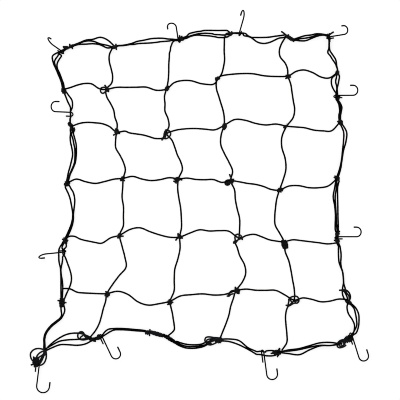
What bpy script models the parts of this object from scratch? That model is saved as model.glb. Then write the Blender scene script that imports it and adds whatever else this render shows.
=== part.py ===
"""Elastic luggage net, laid out flat on the surface it rests on.

A mesh of five rows and four columns of stretch cord is knotted at its twenty crossings. Its ends are tied
to a border of two or three loose strands, which are fused at the border's own knots. Twelve bent wire hooks
with dipped tips hold the border in their eyes. Lengths in the tables are millimetres and angles are degrees.
+X is to the right, +Y is to the far edge and +Z is up. Bows are how far a cord lies to the left of the
straight way from its start to its end, at equal steps along it, so on the border (listed clockwise) a
positive bow is outward.
"""

import math
from collections import namedtuple

import bmesh
import bpy
import numpy as np
from mathutils import Vector
from mathutils.bvhtree import BVHTree

MM = 0.001

CORD = 3.0  # elastic cord, across
WIRE = 2.0  # hook wire, across
DIP = 3.0  # hook tip in its dipped sleeve, across
DIP_LENGTH = 9.0
DIP_STEP = 0.4  # the short shoulder where the sleeve starts
GAP = 0.3  # between pieces that touch
SLACK = 0.1  # added to the gap where a curve and a solid's flat sides differ a little
WELD = 0.02  # points closer than this are one point
SHARP = 50.0  # degrees between two faces from which their edge stays sharp

KNOT_TALL = 5.2  # half the height of a knot, before it is cut flat underneath
KNOT_MIDDLE = 3.5  # height of a knot's middle
KNOT_TURN = 3.2  # length of one turn of cord on a knot
KNOT_RIDGE = 0.16  # how far a knot's turns stand out, as a share of its radius
KNOT_SIDES = 6  # flat sides round a knot
KNOT_BANDS = 5  # bands of faces along a knot
KNOT_BLUNT = 0.7  # how blunt a knot's ends are: 1 is a ball, and near 0 is a rod
BAR_LENGTH = 8.0  # a knot longer than this from its middle is a bar of more turns
BAR_BANDS = 9
BAR_BLUNT = 0.45
ENTER = 3.0  # height of the middle of a cord where it goes into a knot
ENTER_FLAT = 2.0  # how far from a knot's middle a cord keeps that height
ENTER_SLOPE = 10.0  # how far from there it comes down to the floor
STUB_CORD = 2.8  # a cut end, across
STUB_TIP = 2.1  # height of the middle of a cut end's tip
SEAT_REACH = 16.0  # how far a mesh cord's end may be from the border it is tied to

CORD_STEP = 40.0  # the longest straight piece of a cord's solid
CORD_SAG = 0.8  # how far a cord's solid may stray from its smooth route
RISE_SHARE = 0.5  # how much of a stray up or down counts as one sideways
SIDES = 5  # of a cord's or a wire's solid
SMALL_RING = 10.0  # half length of a ring below which it has the first of RING_SIDES, else the second
RING_SIDES = (6, 12)
BEND_STEPS = 5  # straight pieces of a hook's bend
EYE_SIDES = 3  # flat sides of a hook's eye
WALK = 2.0  # step of the fine route that heights are worked out on

APART = CORD + GAP + SLACK  # between the middles of two strands that pass each other
SIDE_BY_SIDE = APART / 2
ON_TOP = APART * math.sqrt(3) / 2  # how much higher a third strand lies on the other two
EYE_HALF = 5.0  # half the straight run of the strands through a hook's eye
EYE_FREE = 11.0  # from an eye's middle to where its strands follow their bows again
EYE_SLOPE = 12.0  # how far past the eye the strands come down again
EYE_LIFT = WIRE + GAP + SLACK  # room for the wire under the strands
EYE_ROOM = WIRE + 2 * GAP + 2 * SLACK  # what the eye's middle line is wider than the strands in it
MIDDLE = (0.74, 1.77)  # moves the layout, so that the box round it is centred on the origin

SIDE_OF = (1, -1, 0)  # the side that a stretch's first, second and third strand lies on: left, right, between

# a knot's or a ring's middle, the way its length runs, and its half length and half width
Knot = namedtuple("Knot", "x y turn long wide")
Ring = namedtuple("Ring", "x y turn long wide height")
# a cord of the mesh between two places, with the bows of each span between its knots
Row = namedtuple("Row", "start end bows")
# a stretch of the border between two places, with each strand's bows, and the hook's eye on it if any
Stretch = namedtuple("Stretch", "start end strands eye")
# an eye's middle, the way its strands run, its share of the stretch, and the strands that it takes
Eye = namedtuple("Eye", "hook x y run along takes")
Stub = namedtuple("Stub", "x y heading length")
# which way a hook points, the side its bend turns to (1 is left), how far it rolls on its shank, how far
# the shank rises, how far it reaches from the eye, its bend's radius, its straight return and tail, and the
# tail's drift along the strands
Hook = namedtuple("Hook", "heading side roll pitch reach radius back tail drift")

MESH_KNOTS = {
    "r1c1": Knot(-188, 221, -40, 5.0, 4.2),
    "r1c2": Knot(-67, 222, 60, 4.8, 4.2),
    "r1c3": Knot(34, 243, 30, 5.6, 4.2),
    "r1c4": Knot(176, 248, 20, 5.4, 4.4),
    "r2c1": Knot(-167, 136, 20, 5.8, 4.6),
    "r2c2": Knot(-70, 129, 50, 6.6, 3.8),
    "r2c3": Knot(48, 149, 45, 5.2, 4.4),
    "r2c4": Knot(171, 147, 20, 5.2, 4.4),
    "r3c1": Knot(-155, 42, 0, 5.2, 4.6),
    "r3c2": Knot(-47, 41, 30, 6.2, 4.6),
    "r3c3": Knot(60, 39, 35, 7.6, 5.2),
    "r3c4": Knot(159, 20, 10, 5.2, 4.8),
    "r4c1": Knot(-160, -72, 50, 5.2, 4.6),
    "r4c2": Knot(-42, -74, -30, 5.2, 4.6),
    "r4c3": Knot(77, -78, 42, 8.6, 4.2),
    "r4c4": Knot(168, -88, -80, 8.6, 6.0),
    "r5c1": Knot(-186, -189, 45, 5.2, 4.6),
    "r5c2": Knot(-60, -204, 30, 5.4, 4.6),
    "r5c3": Knot(71, -183, 30, 9.0, 4.6),
    "r5c4": Knot(185, -202, 30, 8.4, 4.6),
}

BORDER_KNOTS = {
    "corner_tl": Knot(-261, 304.4, 25, 9.0, 4.8),
    "top_1": Knot(-171, 307, 10, 5.6, 4.4),
    "top_2": Knot(-35, 324, 5, 5.0, 4.6),
    "top_3": Knot(60, 332, -10, 6.0, 4.2),
    "top_4": Knot(181, 325, -30, 10.0, 4.6),
    "corner_tr": Knot(257, 332, 0, 4.4, 4.4),
    "right_1": Knot(274, 254, 90, 5.0, 4.2),
    "right_hook": Knot(276, 198, 90, 4.4, 4.0),
    "right_2": Knot(280, 156, 100, 5.6, 4.6),
    "right_3": Knot(274, 43, 90, 6.0, 4.8),
    "right_4": Knot(275, -67, 90, 4.4, 4.4),
    "right_4_low": Knot(274, -84, 90, 4.4, 4.2),
    "right_5": Knot(296, -201, -50, 6.0, 4.6),
    "corner_br": Knot(288.6, -282.6, 38, 8.6, 6.2),
    "bottom_4": Knot(154, -304, 10, 6.6, 4.8),
    "bottom_3": Knot(36, -280, -10, 7.6, 4.8),
    "bottom_2": Knot(-86, -267, -8, 20.0, 4.4),
    "bottom_1": Knot(-214, -277, 16, 9.0, 4.6),
    "cross": Knot(-311, -300, 60, 5.6, 4.2),
    "corner_bl": Knot(-328, -318.5, 45, 8.0, 5.6),
    "left_5": Knot(-276, -204, 90, 7.0, 5.0),
    "left_4": Knot(-270, -79, 80, 5.6, 4.6),
    "left_3": Knot(-266, 33, 60, 5.6, 5.2),
    "left_2": Knot(-257, 147, -55, 6.6, 4.4),
    "left_1": Knot(-273, 221, 90, 6.0, 4.4),
}

# places on the border, beside the knots, where cords start or end
PLACES = {
    "tl_left": (-272, 300),
    "tl_right": (-257, 307),
    "top_4_left": (173, 326),
    "top_4_right": (187, 321),
    "col_2_top": (-49, 318),
    "br_top": (296, -276),
    "br_left": (284, -285),
    "bottom_2_right": (-68, -270),
    "bottom_2_left": (-104, -265),
    "row_5_left": (-269, -178),
}

ROWS = (
    Row("left_1", "right_1",
        ((4, 9, 12, 11, 2), (4, 4, 4, 4, -1), (9, 10, 6, -3, -9), (7, 8, 7, 2, -2), (8, 10, 4, -6, -9))),
    Row("left_2", "right_2",
        ((8, 12, 13, 13, 9), (1, -3, -4, -6, -11), (8, 6, 3, -1, -6), (12, 11, 5, 2, 4),
         (-3, -6, -12, -15, -16))),
    Row("left_3", "right_3",
        ((7, 0, -5, -3, 0), (4, -1, -4, -2, 2), (2, 0, 0, 1, -3), (1, 1, 2, 1, -2), (4, 1, -7, -11, -11))),
    Row("left_4", "right_4_low",
        ((5, -4, -8, -14, -6), (12, 16, 9, 3, -1), (8, 15, 13, 14, 13), (8, 12, 9, 5, 4),
         (8, 6, 3.5, 1, -2))),
    Row("row_5_left", "right_5",
        ((1, -4, -4, -3, -2), (8, 3, -9, -13, -9), (7, 6, 4, -2, -4), (6, 8, 11, 15, 11), (5, 4, -1, 0, 3))),
)

COLUMNS = (
    Row("top_1", "bottom_1",
        ((-7, -5, 1, 8, 9), (-2, 2, 5, 4, 5), (-4, -6, 0, 5, 5), (0, 0, 4, 5, 6), (9, 19, 26, 16, 7),
         (2, 2, 3, 1, -3))),
    Row("col_2_top", "bottom_2_right",
        ((-7, -6, -4, -2, 0), (-4, -3, -3, 3, 5), (7, 9, 10, 13, 12), (-2, 0, 3, 4, 4), (4, 3, 0, 2, 5),
         (3, 7, 10, 13, 14))),
    Row("top_3", "bottom_3",
        ((-7, -3, 2, 5, 6), (-3, -1, 1, 3, 3), (-8, -11, -6, 1, 6), (5, 4, 5, 7, 5), (-1, 5, 15, 18, 12),
         (0, 1, 2, 3, 2))),
    Row("top_4_left", "bottom_4",
        ((-10, -15, -15, -5, 0), (6, 9, 12, 15, 13), (-7, -5, 4, 8, 5), (-7, -11, -14, -14, -4),
         (0, 4, 6, 7, 7), (-5, -3, 4, 11, 15))),
)

BORDER = (
    Stretch("tl_right", "top_1", ((7, 13, 15, 19, 14), (6, 11, 11, 6, 3), (4, 5, 6, 4, -2)), None),
    Stretch("top_1", "top_2", ((1, 3, 6, 6, 1), (-1, -2, -2, -3, -2)),
            Eye("hook_03", -43, 323, 5, 0.94, (0, 1))),
    Stretch("top_2", "top_3", ((4, 9, 10, 10, 8), (1, 5, 5, 2, -2), (0, 3, 1, -3, -6)), None),
    Stretch("top_3", "top_4_left", ((2, -4, -5, -4, -2), (1, -4, -15, -15, -6)),
            Eye("hook_04", 80, 333, -2, 0.17, (0, 1))),
    Stretch("top_4_right", "corner_tr", ((3, 5, 4, 5, 2), (-3, -4, -2, 0, 0)), None),
    Stretch("corner_tr", "right_1", ((0, -3, 0, 3, 4), (-1, -5, -9, -2, 2)),
            Eye("hook_05", 258, 324, -88, 0.1, (0, 1))),
    Stretch("right_1", "right_hook", ((4, 4, 4, 2, 1), (-2, -2, -1, -1, 0), (-5, -11, -10, -6, -2)),
            Eye("hook_06", 273.6, 207.4, -88, 0.84, (0, 1, 2))),
    Stretch("right_hook", "right_2", ((5, 7, 6, 4, 3), (1, 2, 3, 1, 0)), None),
    Stretch("right_2", "right_3", ((14, 14, 10, 8, 6), (8, 9, 8, 7, 4)), None),
    Stretch("right_3", "right_4", ((1, 1, 1, 1, 1), (-5, -8, -5, -3, -1)), None),
    Stretch("right_4", "right_4_low", ((), ()), Eye("hook_07", 274.2, -75.6, -93, 0.5, (0, 1))),
    Stretch("right_4_low", "right_5", ((4, 1, -1, -1, 1), (0, -2, -1, -2, -7)), None),
    Stretch("right_5", "br_top", ((15, 21, 22, 21, 17), (11, 15, 17, 17, 12), (-2, 1, 9, 13, 9)),
            Eye("hook_08", 302, -272, 222, 0.93, (0, 1, 2))),
    Stretch("br_left", "bottom_4", ((-5, -7, -4, -1, -1), (1, -2, -1, 1, 1), (1, -1, 4, 11, 6)), None),
    Stretch("bottom_4", "bottom_3", ((12, 11, 6, 1, -1), (4, 6, 3, -7, -6)),
            Eye("hook_09", 125.6, -306.6, 169, 0.26, (0, 1))),
    Stretch("bottom_3", "bottom_2_right", ((8, 18, 22, 21, 13), (5, 13, 14, 13, 6)), None),
    Stretch("bottom_2_left", "bottom_1", ((-5, -7, -10, -11, -3), (-6, -9, -12, -13, -12)),
            Eye("hook_10", -198, -273.4, 205, 0.87, (0, 1))),
    Stretch("bottom_1", "cross",
            ((6, 5, 0, -4, -2), (-4, -7, -10, -11, -7), (-14, -20, -21, -17, -10)), None),
    Stretch("cross", "corner_bl", ((3, 4, 3), (-3, -4, -3)), None),
    Stretch("cross", "left_5", ((7, 7, 3, -8, -10), (4, 3, -1, -12, -13)), None),
    Stretch("left_5", "left_4", ((4, 4, 6, 10, 10), (0, 0, 4, 4, 5), (-11, -17, -13, -3, -1)),
            Eye("hook_12", -272.8, -103.6, 95, 0.8, (1, 2))),
    Stretch("left_4", "left_3", ((-5, -11, -14, -11, -5), (-7, -14, -16, -17, -15)), None),
    Stretch("left_3", "left_2", ((-2, -4, -7, -3, 1), (-6, -11, -13, -12, -7)), None),
    Stretch("left_2", "left_1", ((0, -3, -6, -3, -1), (-1, -4, -10, -12, -7)),
            Eye("hook_02", -258.8, 172, 92, 0.33, (0, 1))),
    Stretch("left_1", "tl_left", ((4, 10, 16, 20, 22), (4, 9, 14, 17, 12), (3, 8, 12, 13, 6)),
            Eye("hook_01", -278, 296.4, 27, 0.95, (0, 1, 2))),
)

# open rings of cord that stand beside a knot
MESH_RINGS = (
    Ring(-195, 219, 80, 6.4, 4.2, 3.0),
    Ring(-65, 132, 75, 7.4, 4.2, 3.0),
    Ring(73.4, -72.2, 10, 5.6, 4.4, 3.0),
    Ring(189, -199, 20, 6.4, 4.6, 3.0),
)
BORDER_RINGS = (
    Ring(50.6, 332.2, 20, 4.6, 3.6, 3.0),
    Ring(291, -190, -65, 8.0, 4.4, 3.0),
    Ring(280, -288, 25, 6.4, 4.0, 3.0),
    Ring(17, -280, 5, 6.4, 4.0, 3.0),
    Ring(-239, -271, 60, 5.0, 4.2, 3.0),
    Ring(-324, -315.4, 0, 15.2, 15.2, CORD / 2 + EYE_LIFT),
)
RING_OF_HOOK = {"hook_11": Eye("hook_11", -324.6, -330.25, 180, 0, (0,))}

# short cut ends that stick out of the knots
MESH_STUBS = (
    Stub(-190, 223, 120, 8),
    Stub(-186, 219, -15, 9),
    Stub(-167, 136, 205, 10),
    Stub(-72, 127, 225, 10),
    Stub(-70, 131, 130, 10),
    Stub(-47, 41, 5, 11),
    Stub(62, 42, 125, 9),
    Stub(56, 36, 215, 10),
    Stub(-42, -74, -150, 9),
    Stub(72, -83, 230, 8),
    Stub(-160, -72, -60, 8),
    Stub(64, -186, 210, 13),
    Stub(180, -204, 215, 12),
)
BORDER_STUBS = (
    Stub(-270, 301, 125, 9),
    Stub(-35, 324, 80, 9),
    Stub(176, 328, 145, 13),
    Stub(257, 332, 35, 12),
    Stub(-88, -266, 250, 10),
    Stub(-106, -264, 170, 9),
    Stub(-330, -319, 200, 10),
    Stub(-276, -200, 165, 10),
    Stub(290, -183, 160, 10),
    Stub(294, -284, -75, 10),
)

HOOKS = {
    "hook_01": Hook(148, -1, -72, 36, 38.8, 10.5, 2.5, 3, 4.0),
    "hook_02": Hook(178, -1, 0, 32, 39.8, 10.2, 9, 8, 5.2),
    "hook_03": Hook(98, 1, -15, 30, 35.4, 10.6, 5, 4, 4.0),
    "hook_04": Hook(74, 1, -70, 28, 49.4, 10.5, 6.5, 3, 3.0),
    "hook_05": Hook(12, 1, 0, 30, 40, 9.2, 3.5, 5, 3.6),
    "hook_06": Hook(0, 1, 0, 25, 43, 10.4, 7, 5, 4.4),
    "hook_07": Hook(0, 1, 0, 20, 48.6, 9.6, 6.5, 6, 4.4),
    "hook_08": Hook(-72, 1, 0, -4, 57, 10.6, 11, 13, 4.8),
    "hook_09": Hook(-82, 1, 0, -4, 55.4, 11.2, 10, 14, 4.6),
    "hook_10": Hook(-64, 1, 0, 2, 55.4, 10.2, 12, 12, 4.6),
    "hook_11": Hook(-95, 1, 0, -4, 54.4, 12.8, 10, 11, 6.4),
    "hook_12": Hook(185.5, 1, -68, 28, 51, 10.5, 7, 1.5, 3.0),
}


def unit(degrees):
    """The direction on the plan at this many degrees from +X towards +Y."""
    return np.array([math.cos(math.radians(degrees)), math.sin(math.radians(degrees))])


def place(name):
    """The plan position of a knot or of another named place, in millimetres."""
    for knots in (MESH_KNOTS, BORDER_KNOTS):
        if name in knots:
            return np.array([knots[name].x, knots[name].y], float)
    return np.array(PLACES[name], float)


def bowed(start, end, bows):
    """Points from start to end, each moved sideways by its bow at equal steps of the straight way."""
    start, end = np.asarray(start, float), np.asarray(end, float)
    way = end - start
    left = np.array([-way[1], way[0]]) / np.linalg.norm(way)
    steps = len(bows) + 1
    inner = [start + way * (i + 1) / steps + left * bow for i, bow in enumerate(bows)]
    return [start, *inner, end]


def smooth(points):
    """A Catmull-Rom curve through the points, walked at about WALK millimetres a step."""
    points = np.asarray(points, float)
    ends = 2 * points[0] - points[1], 2 * points[-1] - points[-2]
    held = np.vstack([ends[0], points, ends[1]])
    pieces = []
    for i in range(len(points) - 1):
        before, a, b, after = held[i : i + 4]
        count = max(2, round(float(np.linalg.norm(b - a)) / WALK))
        t = (np.arange(count) / count)[:, None]
        pieces.append(
            0.5 * (2 * a + (b - before) * t + (2 * before - 5 * a + 4 * b - after) * t**2
                   + (3 * a - before - 3 * b + after) * t**3)
        )
    return np.vstack([*pieces, points[-1:]])


def ramp(distance, full, slope):
    """1 up to the distance called full, then falling smoothly to 0 over the slope."""
    t = np.clip((distance - full) / slope, 0, 1)
    return 1 - t * t * (3 - 2 * t)


def spread(values, reach):
    """Each value becomes the highest within this many places of it, then the steps are evened out."""
    padded = np.pad(values, reach, mode="edge")
    high = np.max([padded[i : i + len(values)] for i in range(2 * reach + 1)], axis=0)
    padded = np.pad(high, 1, mode="edge")
    return np.maximum(values, (padded[:-2] + padded[1:-1] + padded[2:]) / 3)


def heights(route, floor, below):
    """Height of a strand's middle along its route: on the floor, or over the strands below that it meets."""
    z = floor.copy()
    for other in below:
        apart = np.linalg.norm(route[:, None, :] - other[None, :, :2], axis=2)
        near = apart.argmin(axis=1)
        apart = apart.min(axis=1)
        over = other[near, 2] + np.sqrt(np.maximum(APART**2 - apart**2, 0))
        z = np.where(apart < APART, np.maximum(z, over), z)
    return spread(z, 3)


def corners(route, keep=()):
    """The corners of a cord's solid: the ends, each kept place, and the route's turns that pass CORD_SAG."""
    kept = {int(np.linalg.norm(route[:, :2] - at, axis=1).argmin()) for at in keep}
    picked = sorted(kept | {0, len(route) - 1})
    i = 0
    while i < len(picked) - 1:
        a, b = picked[i], picked[i + 1]
        way = route[b] - route[a]
        length = float(np.linalg.norm(way))
        off = route[a : b + 1] - route[a]
        aside = np.linalg.norm((off - np.outer(off @ way / length**2, way)) * (1, 1, RISE_SHARE), axis=1)
        if b - a > 1 and (aside.max() > CORD_SAG or length > CORD_STEP):
            middle = int(aside.argmax()) if aside.max() > CORD_SAG else (b - a) // 2
            picked.insert(i + 1, a + min(max(middle, 1), b - a - 1))
        else:
            i += 1
    return route[picked]


def strand_routes(stretch):
    """The strands of one stretch of the border as (route with heights, kept corners).

    At both ends the first strand is on the left, the second on the right and the third between them. Those
    that a hook's eye takes run straight through it in the same order, over the wire, with the third on top.
    """
    start, end = place(stretch.start), place(stretch.end)
    length = float(np.linalg.norm(end - start))
    across = np.array([start[1] - end[1], end[0] - start[0]]) / length
    eye = stretch.eye
    done = []
    for index, bows in enumerate(stretch.strands):
        shift = across * SIDE_BY_SIDE * SIDE_OF[index]
        points = bowed(start, end, bows)
        points[0] = points[0] + shift
        points[-1] = points[-1] + shift
        held = eye is not None and index in eye.takes
        keep = ()
        if held:
            run, left = unit(eye.run), unit(eye.run + 90)
            slot = eye.takes.index(index)
            middle = np.array([eye.x, eye.y]) + left * (SIDE_BY_SIDE + SLACK) * SIDE_OF[slot]
            keep = (middle - run * EYE_HALF, middle + run * EYE_HALF)
            steps = np.linspace(0, 1, len(points))
            free = EYE_FREE / length
            before = [p for p, t in zip(points, steps) if t == 0 or t < eye.along - free]
            after = [p for p, t in zip(points, steps) if t == 1 or t > eye.along + free]
            points = [*before, *keep, *after]
        route = smooth(points)
        floor = np.full(len(route), CORD / 2)
        if held:
            away = np.linalg.norm(route - [eye.x, eye.y], axis=1)
            lift = EYE_LIFT + (ON_TOP if slot == 2 else 0)
            floor = floor + lift * ramp(away, EYE_HALF + CORD, EYE_SLOPE)
        z = heights(route, floor, [r for r, _ in done])
        if held:
            z = np.where(away < EYE_HALF + CORD, floor, z)
        done.append((np.column_stack([route, z]), keep))
    return done


def mesh_cord(start, end, knots, bows, border):
    """The route of one row or column through its knots, lifted into them and over the border's strands."""
    stops = [place(start), *(place(k) for k in knots), place(end)]
    spans = []
    for a, b, span in zip(stops, stops[1:], bows):
        route = smooth(bowed(a, b, span))
        away = np.minimum(np.linalg.norm(route - a, axis=1), np.linalg.norm(route - b, axis=1))
        floor = CORD / 2 + (ENTER - CORD / 2) * ramp(away, ENTER_FLAT, ENTER_SLOPE)
        tied = np.minimum(*(np.linalg.norm(route - stops[i], axis=1) for i in (0, -1))) < SEAT_REACH
        z = np.where(tied, floor, heights(route, floor, border))
        spans.append(corners(np.column_stack([route, z])))
    return np.vstack([spans[0], *(span[1:] for span in spans[1:])])


def seated(route, tree):
    """Cuts a mesh cord's first end back until it stands GAP clear of the border solid that it is tied to."""
    route = route.copy()
    end, inner = route[0], route[1]
    way = end - inner
    length = float(np.linalg.norm(way))
    way = way / length
    side = np.cross(way, [0, 0, 1.0])
    side = side / np.linalg.norm(side)
    rise = np.cross(side, way)
    nearest = length + SEAT_REACH
    for a in range(0, 360, 30):
        rim = inner + CORD / 2 * (side * math.cos(math.radians(a)) + rise * math.sin(math.radians(a)))
        hit = tree.ray_cast(Vector(rim * MM), Vector(way), nearest * MM)
        if hit[3] is not None:
            nearest = min(nearest, hit[3] / MM)
    route[0] = inner + way * (nearest - GAP - SLACK)
    return route


def hook_path(hook, x, y, run, strands):
    """The middle line of a hook's wire and how thick it is at each point, as a share of the wire.

    The tail lies under the strands, the eye turns up round them, the shank leads away over them, and the bend
    turns back to the dipped tip. The tail and the shank are a drift apart along the strands.
    """
    ahead = np.append(unit(hook.heading), 0)
    left = np.append(unit(hook.heading + 90), 0)
    along = np.append(unit(run), 0)
    along = along * math.copysign(1, float(along @ left)) * hook.side
    slant = 1 / abs(float(np.append(unit(run + 90), 0) @ ahead))
    tall = CORD if strands < 3 else CORD + ON_TOP
    wide = 0 if strands < 2 else SIDE_BY_SIDE
    turn = (EYE_ROOM + tall) / 2
    low = WIRE / 2
    inner = wide * slant + SLACK
    past = (wide + CORD / 2) * slant
    centre = np.array([x, y, 0.0])

    def at(u, v, z):
        return centre - ahead * u + along * v + np.array([0, 0, z])

    # the eye is a half turn of flat sides drawn round a circle, so that no side cuts into the strands
    shift = hook.drift / 2
    path = [at(-past - hook.tail, -shift, low)]
    for i in range(EYE_SIDES):
        a = math.pi * (i + 0.5) / EYE_SIDES
        out = turn / math.cos(math.pi / 2 / EYE_SIDES)
        path.append(at(inner + out * math.sin(a), -shift * math.cos(a), low + turn - out * math.cos(a)))
    root = at(-past - 2 * GAP, shift, low + 2 * turn)
    path.append(root)

    pitch, roll = math.radians(hook.pitch), math.radians(hook.roll)
    shank = ahead * math.cos(pitch) + np.array([0, 0, math.sin(pitch)])
    lift = np.array([0, 0, math.cos(pitch)]) - ahead * math.sin(pitch)
    side = left * hook.side * math.cos(roll) + lift * math.sin(roll)
    bulge = max(
        float((side * (1 - math.cos(a)) + shank * math.sin(a)) @ ahead)
        for a in np.linspace(0, math.pi, 12 * BEND_STEPS + 1)
    )
    plan = hook.reach - WIRE / 2 - float((root - centre) @ ahead) - hook.radius * bulge
    end = root + shank * (plan / math.cos(pitch))
    for i in range(BEND_STEPS + 1):
        a = math.pi * i / BEND_STEPS
        path.append(end + side * hook.radius * (1 - math.cos(a)) + shank * hook.radius * math.sin(a))
    thick = [1.0] * len(path)
    last = path[-1]
    rest = DIP_LENGTH - hook.back
    if rest > 0:
        # the sleeve is longer than the straight return, so it starts part of the way back round the bend
        step = min(BEND_STEPS - 1, math.ceil(rest / (hook.radius * math.pi / BEND_STEPS)))
        for i in range(1, step + 1):
            thick[-i] = DIP / WIRE
        path.append(last - shank * hook.back)
        thick.append(DIP / WIRE)
    else:
        path.append(last - shank * (hook.back - DIP_LENGTH))
        thick.append(1.0)
        path.append(last - shank * (hook.back - DIP_LENGTH + DIP_STEP))
        thick.append(DIP / WIRE)
        path.append(last - shank * hook.back)
        thick.append(DIP / WIRE)
    return np.array(path), thick


def material(name, colour, roughness, metallic=0.0):
    made = bpy.data.materials.new(name)
    made.use_nodes = True
    shader = made.node_tree.nodes["Principled BSDF"]
    shader.inputs["Base Color"].default_value = (*colour, 1)
    shader.inputs["Roughness"].default_value = roughness
    shader.inputs["Metallic"].default_value = metallic
    return made


def keep_mesh(name, mesh, collection):
    """An object of its own for a finished mesh, shifted so that the middle of the net is at the origin."""
    made = bpy.data.objects.new(name, mesh)
    made.location = (MIDDLE[0] * MM, MIDDLE[1] * MM, 0)
    collection.objects.link(made)
    return made


def section(across):
    """The many-sided outline that a bar of this width is drawn out from, with one side down."""
    name = f"outline {across:.1f}"
    if name in bpy.data.objects:
        return bpy.data.objects[name]
    data = bpy.data.curves.new(name, "CURVE")
    data.dimensions = "2D"
    spline = data.splines.new("POLY")
    spline.points.add(SIDES - 1)
    for i in range(SIDES):
        a = 2 * math.pi * (i + 0.5) / SIDES - math.pi / 2
        spline.points[i].co = (across / 2 * MM * math.cos(a), across / 2 * MM * math.sin(a), 0, 1)
    spline.use_cyclic_u = True
    made = bpy.data.objects.new(name, data)
    bpy.context.scene.collection.objects.link(made)
    return made


def tube(name, points, across, collection, closed=False, thick=None):
    """A round bar along the points as a mesh, made from a bevelled curve whose caps are welded on."""
    data = bpy.data.curves.new(name, "CURVE")
    data.dimensions = "3D"
    data.bevel_mode = "OBJECT"
    data.bevel_object = section(across)
    data.use_fill_caps = not closed
    data.resolution_u = 1
    spline = data.splines.new("POLY")
    spline.points.add(len(points) - 1)
    for i, point in enumerate(points):
        spline.points[i].co = (*(np.asarray(point) * MM), 1)
        spline.points[i].radius = thick[i] if thick else 1
    spline.use_cyclic_u = closed
    curve = bpy.data.objects.new(name, data)
    bpy.context.scene.collection.objects.link(curve)
    graph = bpy.context.evaluated_depsgraph_get()
    mesh = bpy.data.meshes.new_from_object(curve.evaluated_get(graph))
    bpy.data.objects.remove(curve)
    edit = bmesh.new()
    edit.from_mesh(mesh)
    bmesh.ops.remove_doubles(edit, verts=edit.verts, dist=WELD * MM)
    bmesh.ops.recalc_face_normals(edit, faces=edit.faces)
    edit.to_mesh(mesh)
    edit.free()
    return keep_mesh(name, mesh, collection)


def ring(name, row, collection):
    """A closed oval of cord lying beside a knot."""
    ahead, left = unit(row.turn), unit(row.turn + 90)
    count = RING_SIDES[0] if row.long < SMALL_RING else RING_SIDES[1]
    points = []
    for i in range(count):
        a = 2 * math.pi * i / count
        flat = np.array([row.x, row.y]) + ahead * row.long * math.cos(a) + left * row.wide * math.sin(a)
        points.append((*flat, row.height))
    return tube(name, points, CORD, collection, closed=True)


def stub(name, row, collection):
    """The cut end of a cord, sticking out of its knot."""
    start = np.array([row.x, row.y])
    end = start + unit(row.heading) * row.length
    return tube(name, [(*start, ENTER), (*end, STUB_TIP)], STUB_CORD, collection)


def knot(name, row, collection):
    """A knot: a ball drawn out along its turn, ridged by the turns of cord on it and flat underneath."""
    bands, blunt = (BAR_BANDS, BAR_BLUNT) if row.long > BAR_LENGTH else (KNOT_BANDS, KNOT_BLUNT)
    edit = bmesh.new()
    bmesh.ops.create_uvsphere(edit, u_segments=KNOT_SIDES, v_segments=bands, radius=1)
    ahead, left = unit(row.turn), unit(row.turn + 90)
    turns = max(2, round(row.long / KNOT_TURN))
    for vertex in edit.verts:
        # the poles of the ball are the knot's two ends, and it is turned so that a flat side is underneath
        along = vertex.co.z
        spin = math.atan2(vertex.co.y, vertex.co.x) + math.pi / KNOT_SIDES
        fat = math.hypot(vertex.co.x, vertex.co.y) ** blunt
        fat *= 1 + KNOT_RIDGE * math.cos(math.pi * turns * along + spin)
        flat = np.array([row.x, row.y]) + ahead * along * row.long + left * fat * row.wide * math.cos(spin)
        height = KNOT_MIDDLE + KNOT_TALL * fat * math.sin(spin)
        vertex.co = (flat[0] * MM, flat[1] * MM, max(height, 0) * MM)
    bmesh.ops.remove_doubles(edit, verts=edit.verts, dist=WELD * MM)
    bmesh.ops.recalc_face_normals(edit, faces=edit.faces)
    mesh = bpy.data.meshes.new(name)
    edit.to_mesh(mesh)
    edit.free()
    return keep_mesh(name, mesh, collection)


def fused(name, first, cutters, collection, paint):
    """One solid of the first object and all those in a collection, by a Boolean union."""
    join = first.modifiers.new("Fuse", "BOOLEAN")
    join.operation = "UNION"
    join.operand_type = "COLLECTION"
    join.collection = cutters
    join.solver = "EXACT"
    join.use_self = True
    bpy.context.view_layer.update()
    graph = bpy.context.evaluated_depsgraph_get()
    mesh = bpy.data.meshes.new_from_object(first.evaluated_get(graph))
    mesh.name = name
    made = bpy.data.objects.new(name, mesh)
    made.location = first.location
    collection.objects.link(made)
    mesh.materials.clear()
    mesh.materials.append(paint)
    bpy.data.objects.remove(first)
    for helper in list(cutters.objects):
        bpy.data.objects.remove(helper)
    mesh.shade_smooth()
    mesh.set_sharp_from_angle(angle=math.radians(SHARP))
    return made


def clear_scene():
    for old in list(bpy.data.objects):
        bpy.data.objects.remove(old)


def new_collection(name):
    made = bpy.data.collections.new(name)
    bpy.context.scene.collection.children.link(made)
    return made


def make_border(parts, paint):
    """The border's strands, knots, rings and cut ends as one solid. Returns it and the strands' routes."""
    pieces = new_collection("border pieces")
    routes = []
    first = None
    for number, stretch in enumerate(BORDER):
        for letter, (route, keep) in zip("abc", strand_routes(stretch)):
            routes.append(route)
            made = tube(f"strand_{number:02d}{letter}", corners(route, keep), CORD, pieces)
            first = first or made
    for name, row in BORDER_KNOTS.items():
        knot(name, row, pieces)
    for number, row in enumerate(BORDER_RINGS):
        ring(f"ring_{number}", row, pieces)
    for number, row in enumerate(BORDER_STUBS):
        stub(f"stub_{number}", row, pieces)
    pieces.objects.unlink(first)
    bpy.context.scene.collection.objects.link(first)
    return fused("border_cords", first, pieces, parts, paint), routes


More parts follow.
